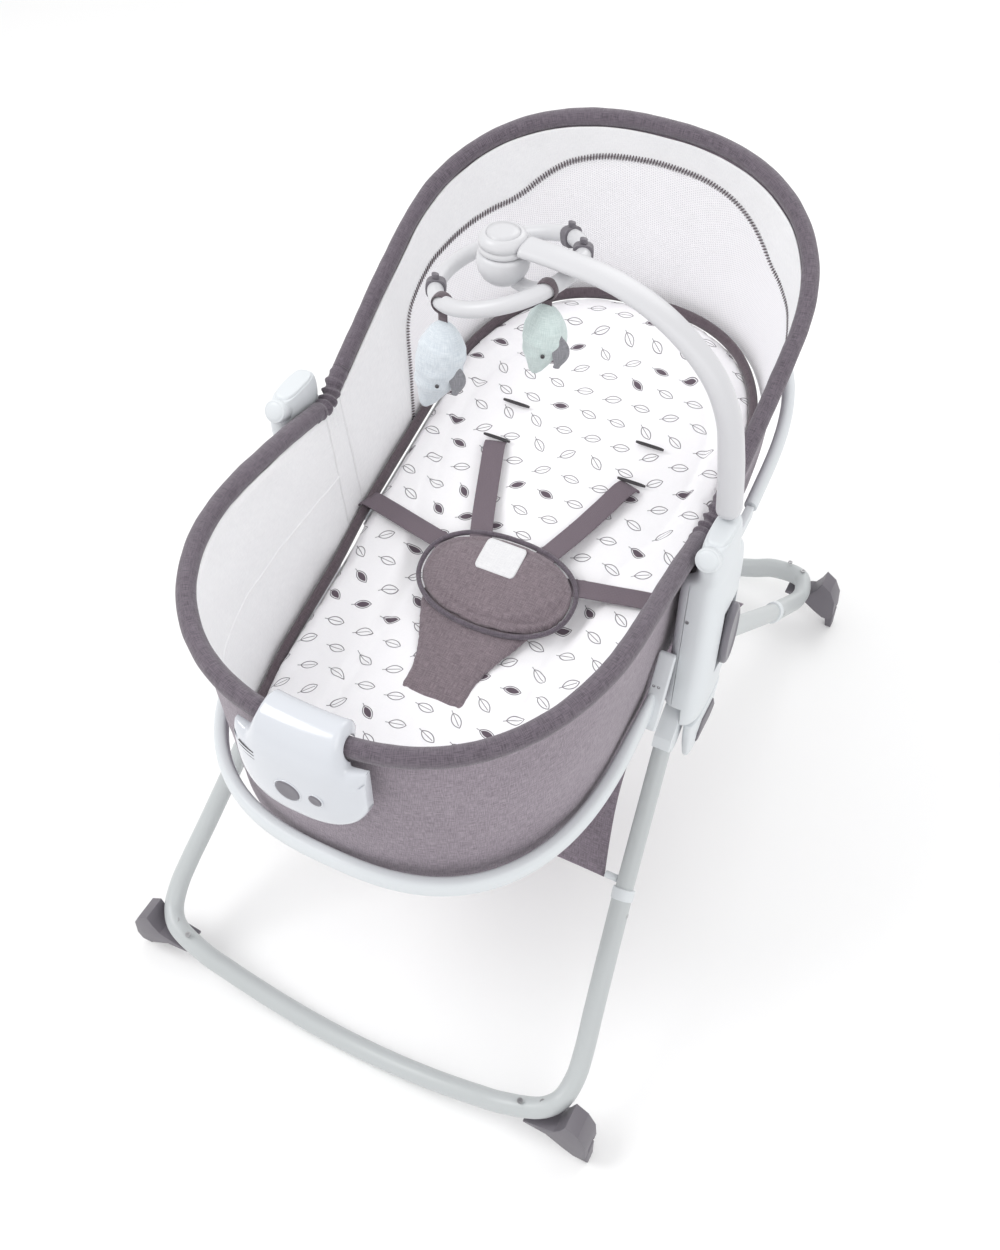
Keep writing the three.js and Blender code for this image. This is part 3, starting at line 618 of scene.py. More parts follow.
def area_of(grid):
    grid = np.asarray(grid)
    a, b, c, d = grid[:-1, :-1], grid[1:, :-1], grid[1:, 1:], grid[:-1, 1:]
    return float((np.linalg.norm(np.cross(b - a, c - a), axis=2) + np.linalg.norm(np.cross(c - a, d - a),
                                                                                  axis=2)).sum() / 2)


def declare_sheet(grid):
    """Works out a sheet's own area and keeps nothing of it."""
    grid = np.asarray(grid)
    area_of(grid)


# ---- Stand ----
BAR_Y, BAR_TOP, BAR_BOW, BAR_Z = 0.431, 0.200, 0.0525, 0.0135
LEGS = {
    "front": [(0.228, -0.421, 0.0715), (0.242, -0.407, 0.077), (0.2475, -0.386, 0.091),
              (0.246, -0.362, 0.111),
              (0.241, -0.331, 0.1385), (0.228, -0.242, 0.218)],
    "rear": [(0.226, 0.420, 0.068), (0.236, 0.400, 0.069), (0.2365, 0.372, 0.076), (0.234, 0.340, 0.097),
             (0.2306, 0.244, 0.172)],
}
LEG_TOPS = {"front": (0.2132, -0.124, 0.317), "rear": (0.217, 0.064, 0.316)}
LEG_SIZE = {"front": (0.0105, 0.0105), "rear": (0.0105, 0.013)}
SLIM_SIZE = {"front": (0.0093, 0.0093), "rear": (0.0095, 0.012)}


def make_rocker(end, way):
    bar = [(x, way * BAR_Y, BAR_Z + BAR_BOW * (x / BAR_TOP) ** 2) for x in np.linspace(0.185, -0.185, 15)]
    leg = LEGS[end]
    path = smooth_path(leg[::-1] + bar + [(-x, y, z) for x, y, z in leg], 190)

    def size(u):
        share = float(step(min(u, 1 - u), 0.16, 0.3))
        return tuple(a + (b - a) * share for a, b in zip(LEG_SIZE[end], (0.011, 0.0135)))

    rocker = tube(f"{end}_rocker_tube", path, size, M["tube"], reference=(0, 0.35 * way, 1), edge=0.0015)
    place(rocker, f"{end}_legs", "frame_paint", f"{end}_rocker")


def make_upper_leg(end, side, sign):
    top, seam = np.array(LEG_TOPS[end]), np.array(LEGS[end][-1])
    start, stop = top - (seam - top) * 0.03, seam + (top - seam) * 0.008
    line = np.linspace(start, stop, 24) * (sign, 1, 1)
    leg = tube(f"{end}_{side}_upper_tube", line, SLIM_SIZE[end], M["tube"], reference=(0, 0.3, 1))
    place(leg, f"{end}_legs", "frame_paint", f"{end}_upper_leg_{side}")
    below = seam + (np.array(LEGS[end][-2]) - seam) * 0.03
    collar_line = np.linspace(seam + (top - seam) * 0.055, below, 6) * (sign, 1, 1)
    wide = tuple(s + 0.0011 for s in LEG_SIZE[end])
    collar = tube(f"{end}_{side}_seam_collar", collar_line, wide, M["shell"], reference=(0, 0.3, 1),
                  edge=0.001)
    place(collar, f"{end}_legs", "shell_plastic")


def make_stand():
    for end, way in (("front", -1), ("rear", 1)):
        make_rocker(end, way)
        for side, sign in SIDES:
            make_upper_leg(end, side, sign)
            socket = bevelled_copy(f"{end}_leg_socket_{side}", M["shell"], 0.0016)
            place(socket, f"{end}_legs", "shell_plastic")
            foot = bevelled_copy(f"{end}_foot_{side}", M["dark"], 0.003)
            place(foot, f"{end}_legs", "dark_plastic")
            tab = bevelled_copy(f"{end}_stopper_tab_{side}", M["dark"], 0.0012)
            place(tab, f"{end}_tab_{side}", "dark_plastic")
    for side, _ in SIDES:
        place(bevelled_copy(f"fold_pin_{side}", M["steel"], 0.0008), "seat", "pin_steel")
        place(bevelled_copy(f"hammock_peg_{side}", M["shell"], 0.001), "front_legs", "shell_plastic")


# ---- Hubs ----
HUB_LEVELS = [  # height, inner x, outer x, front y, back y
    (0.343, 0.198, 0.237, -0.108, -0.020), (0.360, 0.198, 0.2388, -0.1105, -0.0185),
    (0.380, 0.198, 0.240, -0.112, -0.018), (0.415, 0.198, 0.2408, -0.112, -0.018),
    (0.450, 0.198, 0.241, -0.112, -0.018), (0.490, 0.198, 0.2408, -0.112, -0.019),
    (0.520, 0.198, 0.2405, -0.112, -0.020), (0.540, 0.1988, 0.2398, -0.1115, -0.0240),
    (0.547, 0.2020, 0.2394, -0.111, -0.030), (0.552, 0.2095, 0.2391, -0.1105, -0.041),
    (0.557, 0.2125, 0.239, -0.110, -0.044), (0.574, 0.2125, 0.238, -0.110, -0.044),
    (0.586, 0.2128, 0.237, -0.107, -0.046), (0.594, 0.214, 0.235, -0.098, -0.050)]
LOWER_LEVELS = [
    (0.268, 0.225, 0.231, -0.082, -0.050), (0.273, 0.2245, 0.2328, -0.088, -0.044),
    (0.280, 0.2242, 0.234, -0.092, -0.040), (0.305, 0.2232, 0.237, -0.100, -0.030),
    (0.3424, 0.2232, 0.238, -0.106, -0.022)]


def hub_grid(levels, rows, sign):
    """Rounded horizontal sections of a hub between its levels."""
    levels = smooth_path(levels, rows)
    a = np.linspace(0, 2 * np.pi, 56, endpoint=False)
    c = np.sign(np.cos(a)) * np.abs(np.cos(a)) ** 0.62
    s = np.sign(np.sin(a)) * np.abs(np.sin(a)) ** 0.62
    rings = np.array([np.stack([(x0 + x1) / 2 + (x1 - x0) / 2 * c, (y0 + y1) / 2 + (y1 - y0) / 2 * s,
                                np.full(len(a), z)], 1) for z, x0, x1, y0, y1 in levels])
    rings = rounded(rings, 0.003, 5)
    return rings if sign > 0 else flipped(rings)


def box_mesh(low, high):
    corners = [(x, y, z) for x in (low[0], high[0]) for y in (low[1], high[1]) for z in (low[2], high[2])]
    faces = [(0, 1, 3, 2), (4, 6, 7, 5), (0, 4, 5, 1), (2, 3, 7, 6), (0, 2, 6, 4), (1, 5, 7, 3)]
    mesh = bpy.data.meshes.new("cutter")
    mesh.from_pydata(corners, [], faces)
    face_outward(mesh)
    return mesh


def prism(name, outline, near, far, sign, material, edge):
    """Plate with rounded edges: an outline in y and z, between two x on one side."""
    n = len(outline)
    corners = [(sign * x, y, z) for x in (near, far) for y, z in outline]
    faces = [tuple(range(n)), tuple(range(n, 2 * n))[::-1]]
    faces += [(k, k + n, (k + 1) % n + n, (k + 1) % n) for k in range(n)]
    mesh = bpy.data.meshes.new(name)
    mesh.from_pydata(corners, [], faces)
    face_outward(mesh)
    plate = link(name, mesh, material)
    bevel = plate.modifiers.new("round", "BEVEL")
    bevel.width, bevel.segments = edge, 3
    bake(plate).data.shade_smooth()
    set_sharp(plate, 40)
    return plate


def cut_with(thing, tool):
    change = thing.modifiers.new("cut", "BOOLEAN")
    change.operation, change.object, change.solver = "DIFFERENCE", tool, "EXACT"
    bake(thing)
    bpy.data.objects.remove(tool)
    return thing


def cut_boxes(thing, boxes):
    for low, high in boxes:
        tool = bpy.data.objects.new("cutter", box_mesh(low, high))
        bpy.context.scene.collection.objects.link(tool)
        cut_with(thing, tool)
    return thing


def mirrored_box(low, high, sign):
    x = sorted((low[0] * sign, high[0] * sign))
    return (x[0], low[1], low[2]), (x[1], high[1], high[2])


def make_hub(side, sign):
    cover = skin(f"hub_shell_{side}", hub_grid(HUB_LEVELS, 46, sign), M["shell"], wrap=True, caps=True)
    boxes = [((0.19, -0.097, 0.30), (0.2226, 0.010, 0.424)), ((0.19, -0.130, 0.30), (0.2226, -0.096, 0.373)),
             ((0.19, -0.099, 0.410), (0.2124, 0.010, 0.558)),
             ((0.2366, -0.0780, 0.4050), (0.26, -0.0420, 0.4910)),
             ((0.2118, -0.120, 0.376), (0.2124, -0.1096, 0.5605))]
    cut_boxes(cover, [mirrored_box(low, high, sign) for low, high in boxes])
    cover.data.shade_smooth()
    set_sharp(cover, 35)
    place(cover, "seat", "shell_plastic", f"hub_cover_{side}")
    lower = skin(f"hub_lower_shell_{side}", hub_grid(LOWER_LEVELS, 22, sign), M["shell"], wrap=True,
                 caps=True)
    place(lower, "seat", "shell_plastic", f"hub_lower_cover_{side}")
    place(bevelled_copy(f"hub_bumper_{side}", M["dark"], 0.001), "seat", "dark_plastic")
    place(make_arch_cap(side, sign), "seat", "shell_plastic", f"arch_lock_cap_{side}")
    place(make_recline_button(side, sign), f"recline_button_{side}", "dark_plastic", f"recline_button_{side}")
    place(bevelled_copy(f"recline_arm_{side}", M["shell"], 0.001), "backrest", "shell_plastic")


def make_arch_cap(side, sign):
    """Large, slightly domed round cap at the top of the hub's front."""
    start, stop = np.array((0.224, -0.0985, 0.5776)), np.array((0.224, -0.112, 0.5848))
    axis = (stop - start) / np.linalg.norm(stop - start)
    reach = float(np.linalg.norm(stop - start))
    profile = [(0.0115, 0.0), (0.0115, reach - 0.002), (0.0111, reach - 0.0008), (0.0101, reach),
               (0.0096, reach - 0.0003),
               (0.0092, reach + 0.0001), (0.006, reach + 0.0009), (0.001, reach + 0.0012)]
    side_axis, up = np.array((1.0, 0, 0)), np.cross(axis, (1.0, 0, 0))
    a = np.linspace(0, 2 * np.pi, 48, endpoint=False)
    rings = np.array([start + axis * h + r * (np.cos(a)[:, None] * side_axis + np.sin(a)[:, None] * up)
                      for r, h in profile])
    return skin(f"arch_cap_{side}", rings if sign > 0 else flipped(rings), M["shell"], wrap=True, caps=True)


def make_recline_button(side, sign):
    """Long oval button with a finger groove down its face."""
    profile = [(0.2404, 1.0), (0.2455, 1.0), (0.2472, 0.95), (0.2482, 0.86), (0.2484, 0.80), (0.2476, 0.74),
               (0.2472, 0.5), (0.2472, 0.08)]
    a = np.linspace(0, 2 * np.pi, 48, endpoint=False)
    rings = np.array([np.stack([np.full(len(a), x), RECLINE["y"] + 0.0168 * k * np.cos(a),
                                RECLINE["z"] + 0.0415 * k * np.sin(a)], 1) for x, k in profile])
    return skin(f"recline_press_{side}", rings if sign > 0 else flipped(rings), M["button"], wrap=True,
                caps=True)


# ---- Rings and fabric tubes ----
def ring_z(y):
    return 0.371 + 0.11 * (y + 0.400)


def make_rings():
    plan = tub_end(RING, -0.124, 170)
    path = np.c_[plan, ring_z(plan[:, 1])]

    def size(u):
        share = float(step(min(u, 1 - u), 0, 0.12))
        return 0.005 + 0.002 * share, 0.015 - 0.005 * share

    base = tube("base_ring_band", path, size, M["shell"], power=2.8, edge=0.001)
    place(base, "seat", "shell_plastic", "base_ring")
    for side, sign in SIDES:
        outline = [(-0.154, 0.380), (-0.147, 0.374), (-0.121, 0.428), (-0.1130, 0.448), (-0.1134, 0.454),
                   (-0.1185, 0.454), (-0.127, 0.437)]
        plate = prism(f"ring_tab_{side}", outline, 0.1945, 0.211, sign, M["shell"], 0.0018)
        place(plate, "seat", "shell_plastic")
    plan = tub_end(REAR_RING, 0.096, 120)
    rear = tube("rear_ring_band", np.c_[plan, 0.441 + SLOPE * plan[:, 1]], (0.007, 0.009), M["shell"],
                edge=0.001)
    place(rear, "backrest", "shell_plastic", "rear_ring")


def soft_tube(name, path, radius, ruffles=None):
    """Fabric pulled over a tube: slightly uneven, with a seam ridge along its lower inside."""
    rings = sections(path, lambda u: (radius, radius), (0, 0, 1), 28)
    centre = np.asarray(path)[:, None]
    out = (rings - centre) / radius
    swell = np.array([[noise.noise(Vector(p) * 60) * 0.0004 + noise.noise(Vector(p) * 18) * 0.0005 for p in ring]
                      for ring in rings])
    angle = np.arange(28) / 28 * 2 * np.pi
    swell += 0.0011 * np.exp(-((angle - 1.5 * np.pi) / 0.16) ** 2)[None]
    if ruffles is not None:
        swell += ruffles(np.linspace(0, 1, len(path)))[:, None] * (1 + 0.4 * np.sin(3 * angle))[None]
    return skin(name, rounded(rings + out * swell[..., None], 0.002), M["rim"], wrap=True, caps=True)


def make_rims():
    plan = tub_end(RIM, -0.067, 260)
    rim = soft_tube("foot_rim_cover", np.c_[plan, rim_z(plan[:, 1])], RIM_R)
    place(rim, "seat", "rim_fabric", "foot_rim")
    plan = tub_end(HOOP, 0.004, 300, start_half=0.206)
    hoop = soft_tube("head_hoop_cover", hoop_point(plan[:, 0], plan[:, 1]), HOOP_R)
    place(hoop, "backrest", "rim_fabric", "head_hoop")
    for side, sign in SIDES:
        path = smooth_path([(0.2024, -0.082, 0.5640), (0.2022, -0.066, 0.5612), (0.2030, -0.054, 0.5600),
                            (0.2050, -0.042, 0.5640), (0.2062, -0.034, 0.5695), (0.2066, -0.016, 0.5788)], 72)
        gather = soft_tube(f"hinge_gather_{side}", path * (sign, 1, 1), 0.0086,
                           lambda u: 0.0016 * np.sin(u * 2 * np.pi * 7) * np.sin(u * np.pi) + 0.0002)
        bend(gather, "rim_fabric")


# ---- Walls ----
def head_edges(count):
    """Top and bottom edges of the head wall's outer face, from the right hinge round to the left."""
    high = tub_end(dict(HOOP, half=HOOP["half"] - 0.003, length=HOOP["length"] - 0.003), 0, count, 0.203)
    low = tub_end(HEAD_FOOT, -0.033, count)
    top = hoop_point(high[:, 0], high[:, 1]) + (0, 0, -0.0062)
    return top, np.c_[low, pad_z(low[:, 1]) - 0.020]


def foot_edges(count):
    high = tub_end(dict(RIM, half=RIM["half"] - 0.002, length=RIM["length"] - 0.002), -0.067, count)
    low = tub_end(FOOT_FOOT, -0.067, count)
    return np.c_[high, rim_z(high[:, 1]) - 0.006], np.c_[low, pad_z(low[:, 1]) - 0.021]


def wall_grid(top, bottom, rows, inset, folds, shares=None):
    """Grid of a fabric wall: rows from bottom to top, moved inwards by inset, with soft folds."""
    shares = np.linspace(0, 1, rows)[:, None] if shares is None else shares
    grid = bottom[None] + (top - bottom)[None] * shares[..., None]
    along = np.gradient(top + bottom, axis=0)
    inward = np.stack([along[:, 1], -along[:, 0]], 1)
    inward /= np.linalg.norm(inward, axis=1)[:, None]
    middle = (top + bottom)[:, :2] / 2
    heart = middle.mean(0)
    inward *= np.sign(np.sum(inward * (heart - middle), axis=1))[:, None]
    depth = np.full(grid.shape[:2], inset, float)
    for r in range(grid.shape[0]):
        for c in range(grid.shape[1]):
            depth[r, c] += folds * noise.noise(Vector(grid[r,
                                                           c]) * 16) + folds * 0.5 * noise.noise(Vector(grid[r, c]) * 45)
    grid[..., :2] += inward[None] * depth[..., None]
    return grid


def sheet_piece(name, grid, material, thickness=0.0012):
    sheet = skin(name, grid, material)
    solidify(sheet, thickness)
    face_outward(sheet.data)
    return sheet


def net_share(top):
    """Height of the net's curved upper seam, as a share of the head wall, for each station."""
    x, y = np.abs(top[:, 0]), top[:, 1]
    side = np.interp(y, (0.074, 0.078, 0.084, 0.092, 0.115, 0.150, 0.205, 0.257),
                     (0, 0.33, 0.55, 0.66, 0.715, 0.73, 0.70, 0.68))
    end = np.interp(x, (0, 0.060, 0.098, 0.129, 0.150), (0.86, 0.85, 0.82, 0.75, 0.68))
    share = np.where(x > 0.150, side, np.where(y > 0.1, end, side))
    return np.convolve(np.pad(share, 3, "edge"), np.ones(7) / 7, "valid")


def make_head_wall():
    top, bottom = head_edges(220)
    outer = wall_grid(top, bottom, 26, 0.0006, 0.0010)
    piece = sheet_piece("head_wall_outer", outer, M["outer"])
    place(piece, "backrest", "outer_fabric", "head_wall")
    declare_sheet(outer)
    share = net_share(top)
    band = wall_grid(top, bottom, 24, 0.0046, 0.0012, share[None] + (1 - share)[None] * np.linspace(0, 1,
                                                                                                    24)[:,
                                                                                                        None])
    piece = sheet_piece("head_wall_band", band, M["lining"])
    place(piece, "backrest", "lining_fabric")
    declare_sheet(band)
    seen = share > 0.02
    cols = np.where(seen)[0]
    part = slice(cols[0], cols[-1] + 1)
    net = wall_grid(top[part], bottom[part], 24, 0.0040, 0.0008,
                    share[part][None] * np.linspace(0, 1, 24)[:, None])
    piece = sheet_piece("head_net", net, M["net"], 0.0008)
    place(piece, "backrest", "lining_fabric")
    declare_sheet(net)
    return band[0][part]


def make_foot_wall():
    top, bottom = foot_edges(200)
    outer = wall_grid(top, bottom, 22, 0.0006, 0.0012)
    piece = sheet_piece("foot_wall_outer", outer, M["outer"])
    place(piece, "seat", "outer_fabric", "foot_wall")
    declare_sheet(outer)
    inner = wall_grid(top, bottom, 22, 0.0046, 0.0022)
    piece = sheet_piece("foot_wall_lining", inner, M["lining"])
    place(piece, "seat", "lining_fabric")
    declare_sheet(inner)
    line = inner[11]
    piping = tube("foot_wall_piping", line + (0, 0, 0.0), (0.0014, 0.0014), M["lining"], sides=10,
                  edge=0.0003)
    place(piping, "seat", "lining_fabric")


def make_gussets():
    """Fabric that closes the tub's sides over the recline joint, between the two walls."""
    head_top, head_low = head_edges(220)
    foot_top, foot_low = foot_edges(200)
    for side, sign in SIDES:
        pick = 0 if sign > 0 else -1
        for name, inset, folds, material, slot in (("outer", 0.0006, 0.0012, "outer", "outer_fabric"),
                                                   ("lining", 0.0046, 0.0016, "lining", "lining_fabric")):
            ends = []
            for top, low in ((foot_top[pick], foot_low[pick]), (head_top[pick], head_low[pick])):
                ends.append(low[None] + (top - low)[None] * np.linspace(0, 1, 24)[:, None])
            u = np.linspace(0, 1, 28)[None, :, None]
            grid = ends[0][:, None] * (1 - u) + ends[1][:, None] * u
            lift = np.linspace(0, 1, 24)[:, None]
            pleats = 0.0011 * np.sin(u[..., 0] * np.pi * 9) * step(lift, 0.72,
                                                                   1.0) * np.sin(u[..., 0] * np.pi)
            soft = np.array([[noise.noise(Vector(p) * 20) for p in row] for row in grid]) * folds
            grid[..., 0] -= sign * (inset + pleats + soft * np.sin(u[..., 0] * np.pi))
            piece = sheet_piece(f"side_gusset_{name}_{side}", grid, M[material])
            bend(piece, slot)
            declare_sheet(grid)


# ---- Cushions ----
def inflate(thing, voxel, pressure, cap, fixed=None, frames=20):
    """Swells a closed soft shape by a cloth simulation, and keeps each point within cap of where it was."""
    remesh = thing.modifiers.new("even", "REMESH")
    remesh.mode, remesh.voxel_size = "VOXEL", voxel
    bake(thing)
    start = points_of(thing.data)
    if fixed is not None:
        held = thing.vertex_groups.new(name="held")
        for index, weight in enumerate(fixed(start)):
            if weight > 0:
                held.add([index], float(weight), "REPLACE")
    cloth = thing.modifiers.new("swell", "CLOTH")
    settings = cloth.settings
    settings.use_pressure, settings.uniform_pressure_force = True, pressure
    settings.effector_weights.gravity = 0
    settings.quality = 5
    if fixed is not None:
        settings.vertex_group_mass = "held"
    cloth.point_cache.frame_start, cloth.point_cache.frame_end = 1, frames
    for f in range(1, frames + 1):
        bpy.context.scene.frame_set(f)
    bake(thing)
    moved = points_of(thing.data) - start
    length = np.linalg.norm(moved, axis=1)
    moved *= np.minimum(1, cap / np.maximum(length, 1e-9))[:, None]
    write_points(thing.data, start + moved)
    thing.vertex_groups.clear()
    return thing


def points_of(mesh):
    co = np.zeros(len(mesh.vertices) * 3)
    mesh.vertices.foreach_get("co", co)
    return co.reshape(-1, 3)


def write_points(mesh, points):
    mesh.vertices.foreach_set("co", np.asarray(points, np.float32).ravel())
    mesh.update()


def flat_uv(thing, scale=1.0):
    """UV map in metres, laid on the sloping plane of the lying surface."""
    mesh = thing.data
    layer = mesh.uv_layers.get("UVMap") or mesh.uv_layers.new(name="UVMap")
    co = points_of(mesh)
    index = np.zeros(len(mesh.loops), int)
    mesh.loops.foreach_get("vertex_index", index)
    uv = np.stack([co[:, 0], co[:, 1] * math.sqrt(1 + SLOPE**2)], 1) * scale
    layer.data.foreach_set("uv", uv[index].astype(np.float32).ravel())


def pad_half(y):
    """Half width of the mattress for each y."""
    y = np.asarray(y, float)
    head = np.clip((y - 0.110) / (PAD["head"] - 0.110), 0, 1)
    foot = np.clip((-0.190 - y) / (-0.190 - PAD["foot"]), 0, 1)
    half = PAD["half"] - 0.004 * step(-y, 0.04, 0.12)
    return half * (1 - head**2.5) ** (1 / 2.5) * (1 - foot**2.6) ** (1 / 2.6)


def seam_half(y):
    """Half width of the sewn line that divides the inner pad from its border."""
    y = np.asarray(y, float)
    wide = 0.088 + 0.050 * step(y, -0.10, 0.09)
    head = np.clip((y - 0.120) / 0.125, 0, 1)
    return np.where(y > 0.245, -1.0, wide * (1 - head**2.4) ** (1 / 2.4))


def pad_outline(count, inset=0.0):
    y = np.linspace(PAD["foot"], PAD["head"], 700)
    half = pad_half(y)
    ring = np.vstack([np.c_[half, y], np.c_[-half, y][::-1]])
    ring = even(np.vstack([ring, ring[:1]]), count + 1)[:-1]
    if inset:
        along = np.roll(ring, -1, 0) - np.roll(ring, 1, 0)
        normal = np.stack([along[:, 1], -along[:, 0]], 1)
        normal /= np.linalg.norm(normal, axis=1)[:, None]
        ring = ring - normal * inset
    return ring


def slab(name, outline, insets, heights, material, lift=pad_z):
    """A closed soft slab: an outline in plan, drawn in by an inset at each height; None means the middle."""
    centre = outline.mean(0)
    along = np.roll(outline, -1, 0) - np.roll(outline, 1, 0)
    inward = np.stack([-along[:, 1], along[:, 0]], 1)
    inward /= np.linalg.norm(inward, axis=1)[:, None]
    if np.sum(inward * (centre - outline)) < 0:
        inward = -inward
    rings = []
    for inset, height in zip(insets, heights):
        plan = centre + (outline - centre) * 0.2 if inset is None else outline + inward * inset
        rings.append(np.c_[plan, lift(plan[:, 1]) + height])
    return skin(name, np.array(rings), material, wrap=True, caps=True)


def nearest_line(points, line):
    """Distance in plan from each point to a line of points."""
    best = np.full(len(points), 9.0)
    for x, y in line:
        best = np.minimum(best, np.hypot(points[:, 0] - x, points[:, 1] - y))
    return best


def seam_lines():
    """Sewn lines of the mattress in plan: the inner pad's outline and its cross channels."""
    y = np.linspace(-0.345, 0.2449, 260)
    half = seam_half(y)
    sides = [np.c_[half, y], np.c_[-half, y]]
    bars = [np.c_[np.linspace(-w, w, 60), np.full(60, at)] for at, w in ((-0.345, 0.088),)]
    return np.vstack(sides + bars)


def make_pad():
    outline = pad_outline(240, 0.003)
    thick = PAD["thick"]
    pad = slab("mattress", outline, (None, 0.012, 0.003, 0, 0, 0.003, 0.012, None),
               (-thick + 0.001, -thick + 0.001, -thick + 0.003, -thick + 0.007, -0.011, -0.0065, -0.004,
                -0.004),
               M["print"])
    lines = seam_lines()
    hold = lambda p: (nearest_line(p, lines) < 0.0035) * 1.0
    inflate(pad, 0.005, 4.0, 0.0075, hold)
    co = points_of(pad.data)
    top = co[:, 2] > pad_z(co[:, 1]) - 0.012
    near = nearest_line(co, lines)
    puff = 0
    groove = 0.0030 * np.exp(-(near / 0.0035) ** 2)
    wrinkle = np.array([noise.noise(Vector((p[0] * 26, p[1] * 26, 0.3))) * 0.0010
                        + noise.noise(Vector((p[0] * 70, p[1] * 40, 1.7))) * 0.0005 for p in co])
    co[:, 2] += np.where(top, puff - groove + wrinkle, 0)
    co[:, 2] = np.maximum(co[:, 2], pad_z(co[:, 1]) - thick)
    write_points(pad.data, co)
    finer = pad.modifiers.new("finer", "SUBSURF")
    finer.levels = finer.render_levels = 1
    bake(pad)
    pad.data.shade_smooth()
    flat_uv(pad)
    bend(pad, "pad_fabric", "seat_pad", "back_pad")
    edge = pad_outline(420, 0.0035)
    path = np.vstack([edge, edge[:2]])
    path = np.c_[path, pad_z(path[:, 1]) - 0.0062]
    rings = sections(path, lambda u: (0.0050, 0.0068), (0, 0, 1), 16)[:-2]
    rings = np.vstack([rings, rings[:1]])
    binding = skin("mattress_binding", rings, M["binding"], wrap=True)
    close_seams(binding)
    bend(binding, "outer_fabric")


def close_seams(thing):
    work = bmesh.new()
    work.from_mesh(thing.data)
    bmesh.ops.remove_doubles(work, verts=work.verts, dist=1e-5)
    bmesh.ops.recalc_face_normals(work, faces=work.faces)
    if work.calc_volume(signed=True) < 0:
        bmesh.ops.reverse_faces(work, faces=work.faces)
    work.to_mesh(thing.data)
    work.free()


def make_boards():
    for node, body in (("seat_board", "seat"), ("back_board", "backrest")):
        place(bevelled_copy(node, M["lining"], 0.0008), body, "board_plastic")


# ---- Harness ----
COVER = dict(x=0.004, y=-0.084, a=0.085, b=0.052, power=2.25)


def cover_outline(count, inset=0.0):
    a = np.linspace(0, 2 * np.pi, count, endpoint=False)
    k = 2 / COVER["power"]
    return np.c_[COVER["x"] + (COVER["a"] - inset) * np.sign(np.cos(a)) * np.abs(np.cos(a)) ** k,
                 COVER["y"] + (COVER["b"] - inset) * np.sign(np.sin(a)) * np.abs(np.sin(a)) ** k]


def make_cover():
    outline = cover_outline(120, 0.003)
    shell = slab("buckle_cover", outline, (None, 0.006, 0.001, 0, 0.001, 0.004, 0.012, None),
                 (0.0096, 0.0096, 0.0105, 0.0130, 0.0160, 0.0182, 0.0197, 0.0205), M["cover"])
    inflate(shell, 0.003, 3.0, 0.0022)
    co = points_of(shell.data)
    ring = cover_outline(300, 0.012)
    near = nearest_line(co, ring)
    top = co[:, 2] > pad_z(co[:, 1]) + 0.013
    co[:, 2] -= np.where(top, 0.0016 * np.exp(-(near / 0.0022) ** 2), 0)
    write_points(shell.data, co)
    finer = shell.modifiers.new("finer", "SUBSURF")
    finer.levels = finer.render_levels = 1
    bake(shell).data.shade_smooth()
    flat_uv(shell)
    place(shell, "seat", "cover_fabric", "harness_cover")
    plan = cover_outline(200)
    path = np.vstack([plan, plan[:2]])
    rings = sections(np.c_[path, pad_z(path[:, 1]) + 0.0145], lambda u: (0.0026, 0.0030), (0, 0, 1), 12)[:-2]
    piping = skin("cover_piping", np.vstack([rings, rings[:1]]), M["rim"], wrap=True)
    close_seams(piping)
    place(piping, "seat", "cover_fabric")


def on_pad(x, y, lift):
    return np.array((x, y, float(pad_z(y)) + lift))


def patch(name, centre, wide, tall, lift, thickness, material, rows=24, cols=24, dome=None):
    """A flat piece of cloth lying on the sloping surface, with rounded corners."""
    a = np.linspace(-1, 1, cols)
    grid = []
    for v in np.linspace(-1, 1, rows):
        squeeze = (1 - abs(v) ** 9) ** (1 / 9) if abs(v) < 1 else 0.86
        x = centre[0] + a * wide / 2 * squeeze
        y = np.full(cols, centre[1] + v * tall / 2)
        z = pad_z(y) + lift + (dome(x, y) if dome else 0)
        grid.append(np.stack([x, y, z], 1))
    piece = skin(name, np.array(grid), material)
    solidify(piece, thickness, 1.0)
    face_outward(piece.data)
    return piece


def cover_dome(x, y):
    r = ((x - COVER["x"]) / COVER["a"]) ** 2 + ((y - COVER["y"]) / COVER["b"]) ** 2
    return -0.0012 * r


def make_label():
    label = patch("blank_label", (-0.002, -0.062), 0.045, 0.036, 0.0226, 0.0008, M["label"], dome=cover_dome)
    place(label, "seat", "cover_fabric")


CROTCH_TOP, CROTCH_LOW = -0.092, -0.222


CROTCH_LIFT = 0.0035  # the pad is puffed up by about this much under the crotch piece


def crotch_half(y):
    return 0.036 + 0.030 * step(np.asarray(y), -0.205, -0.105) ** 1.2


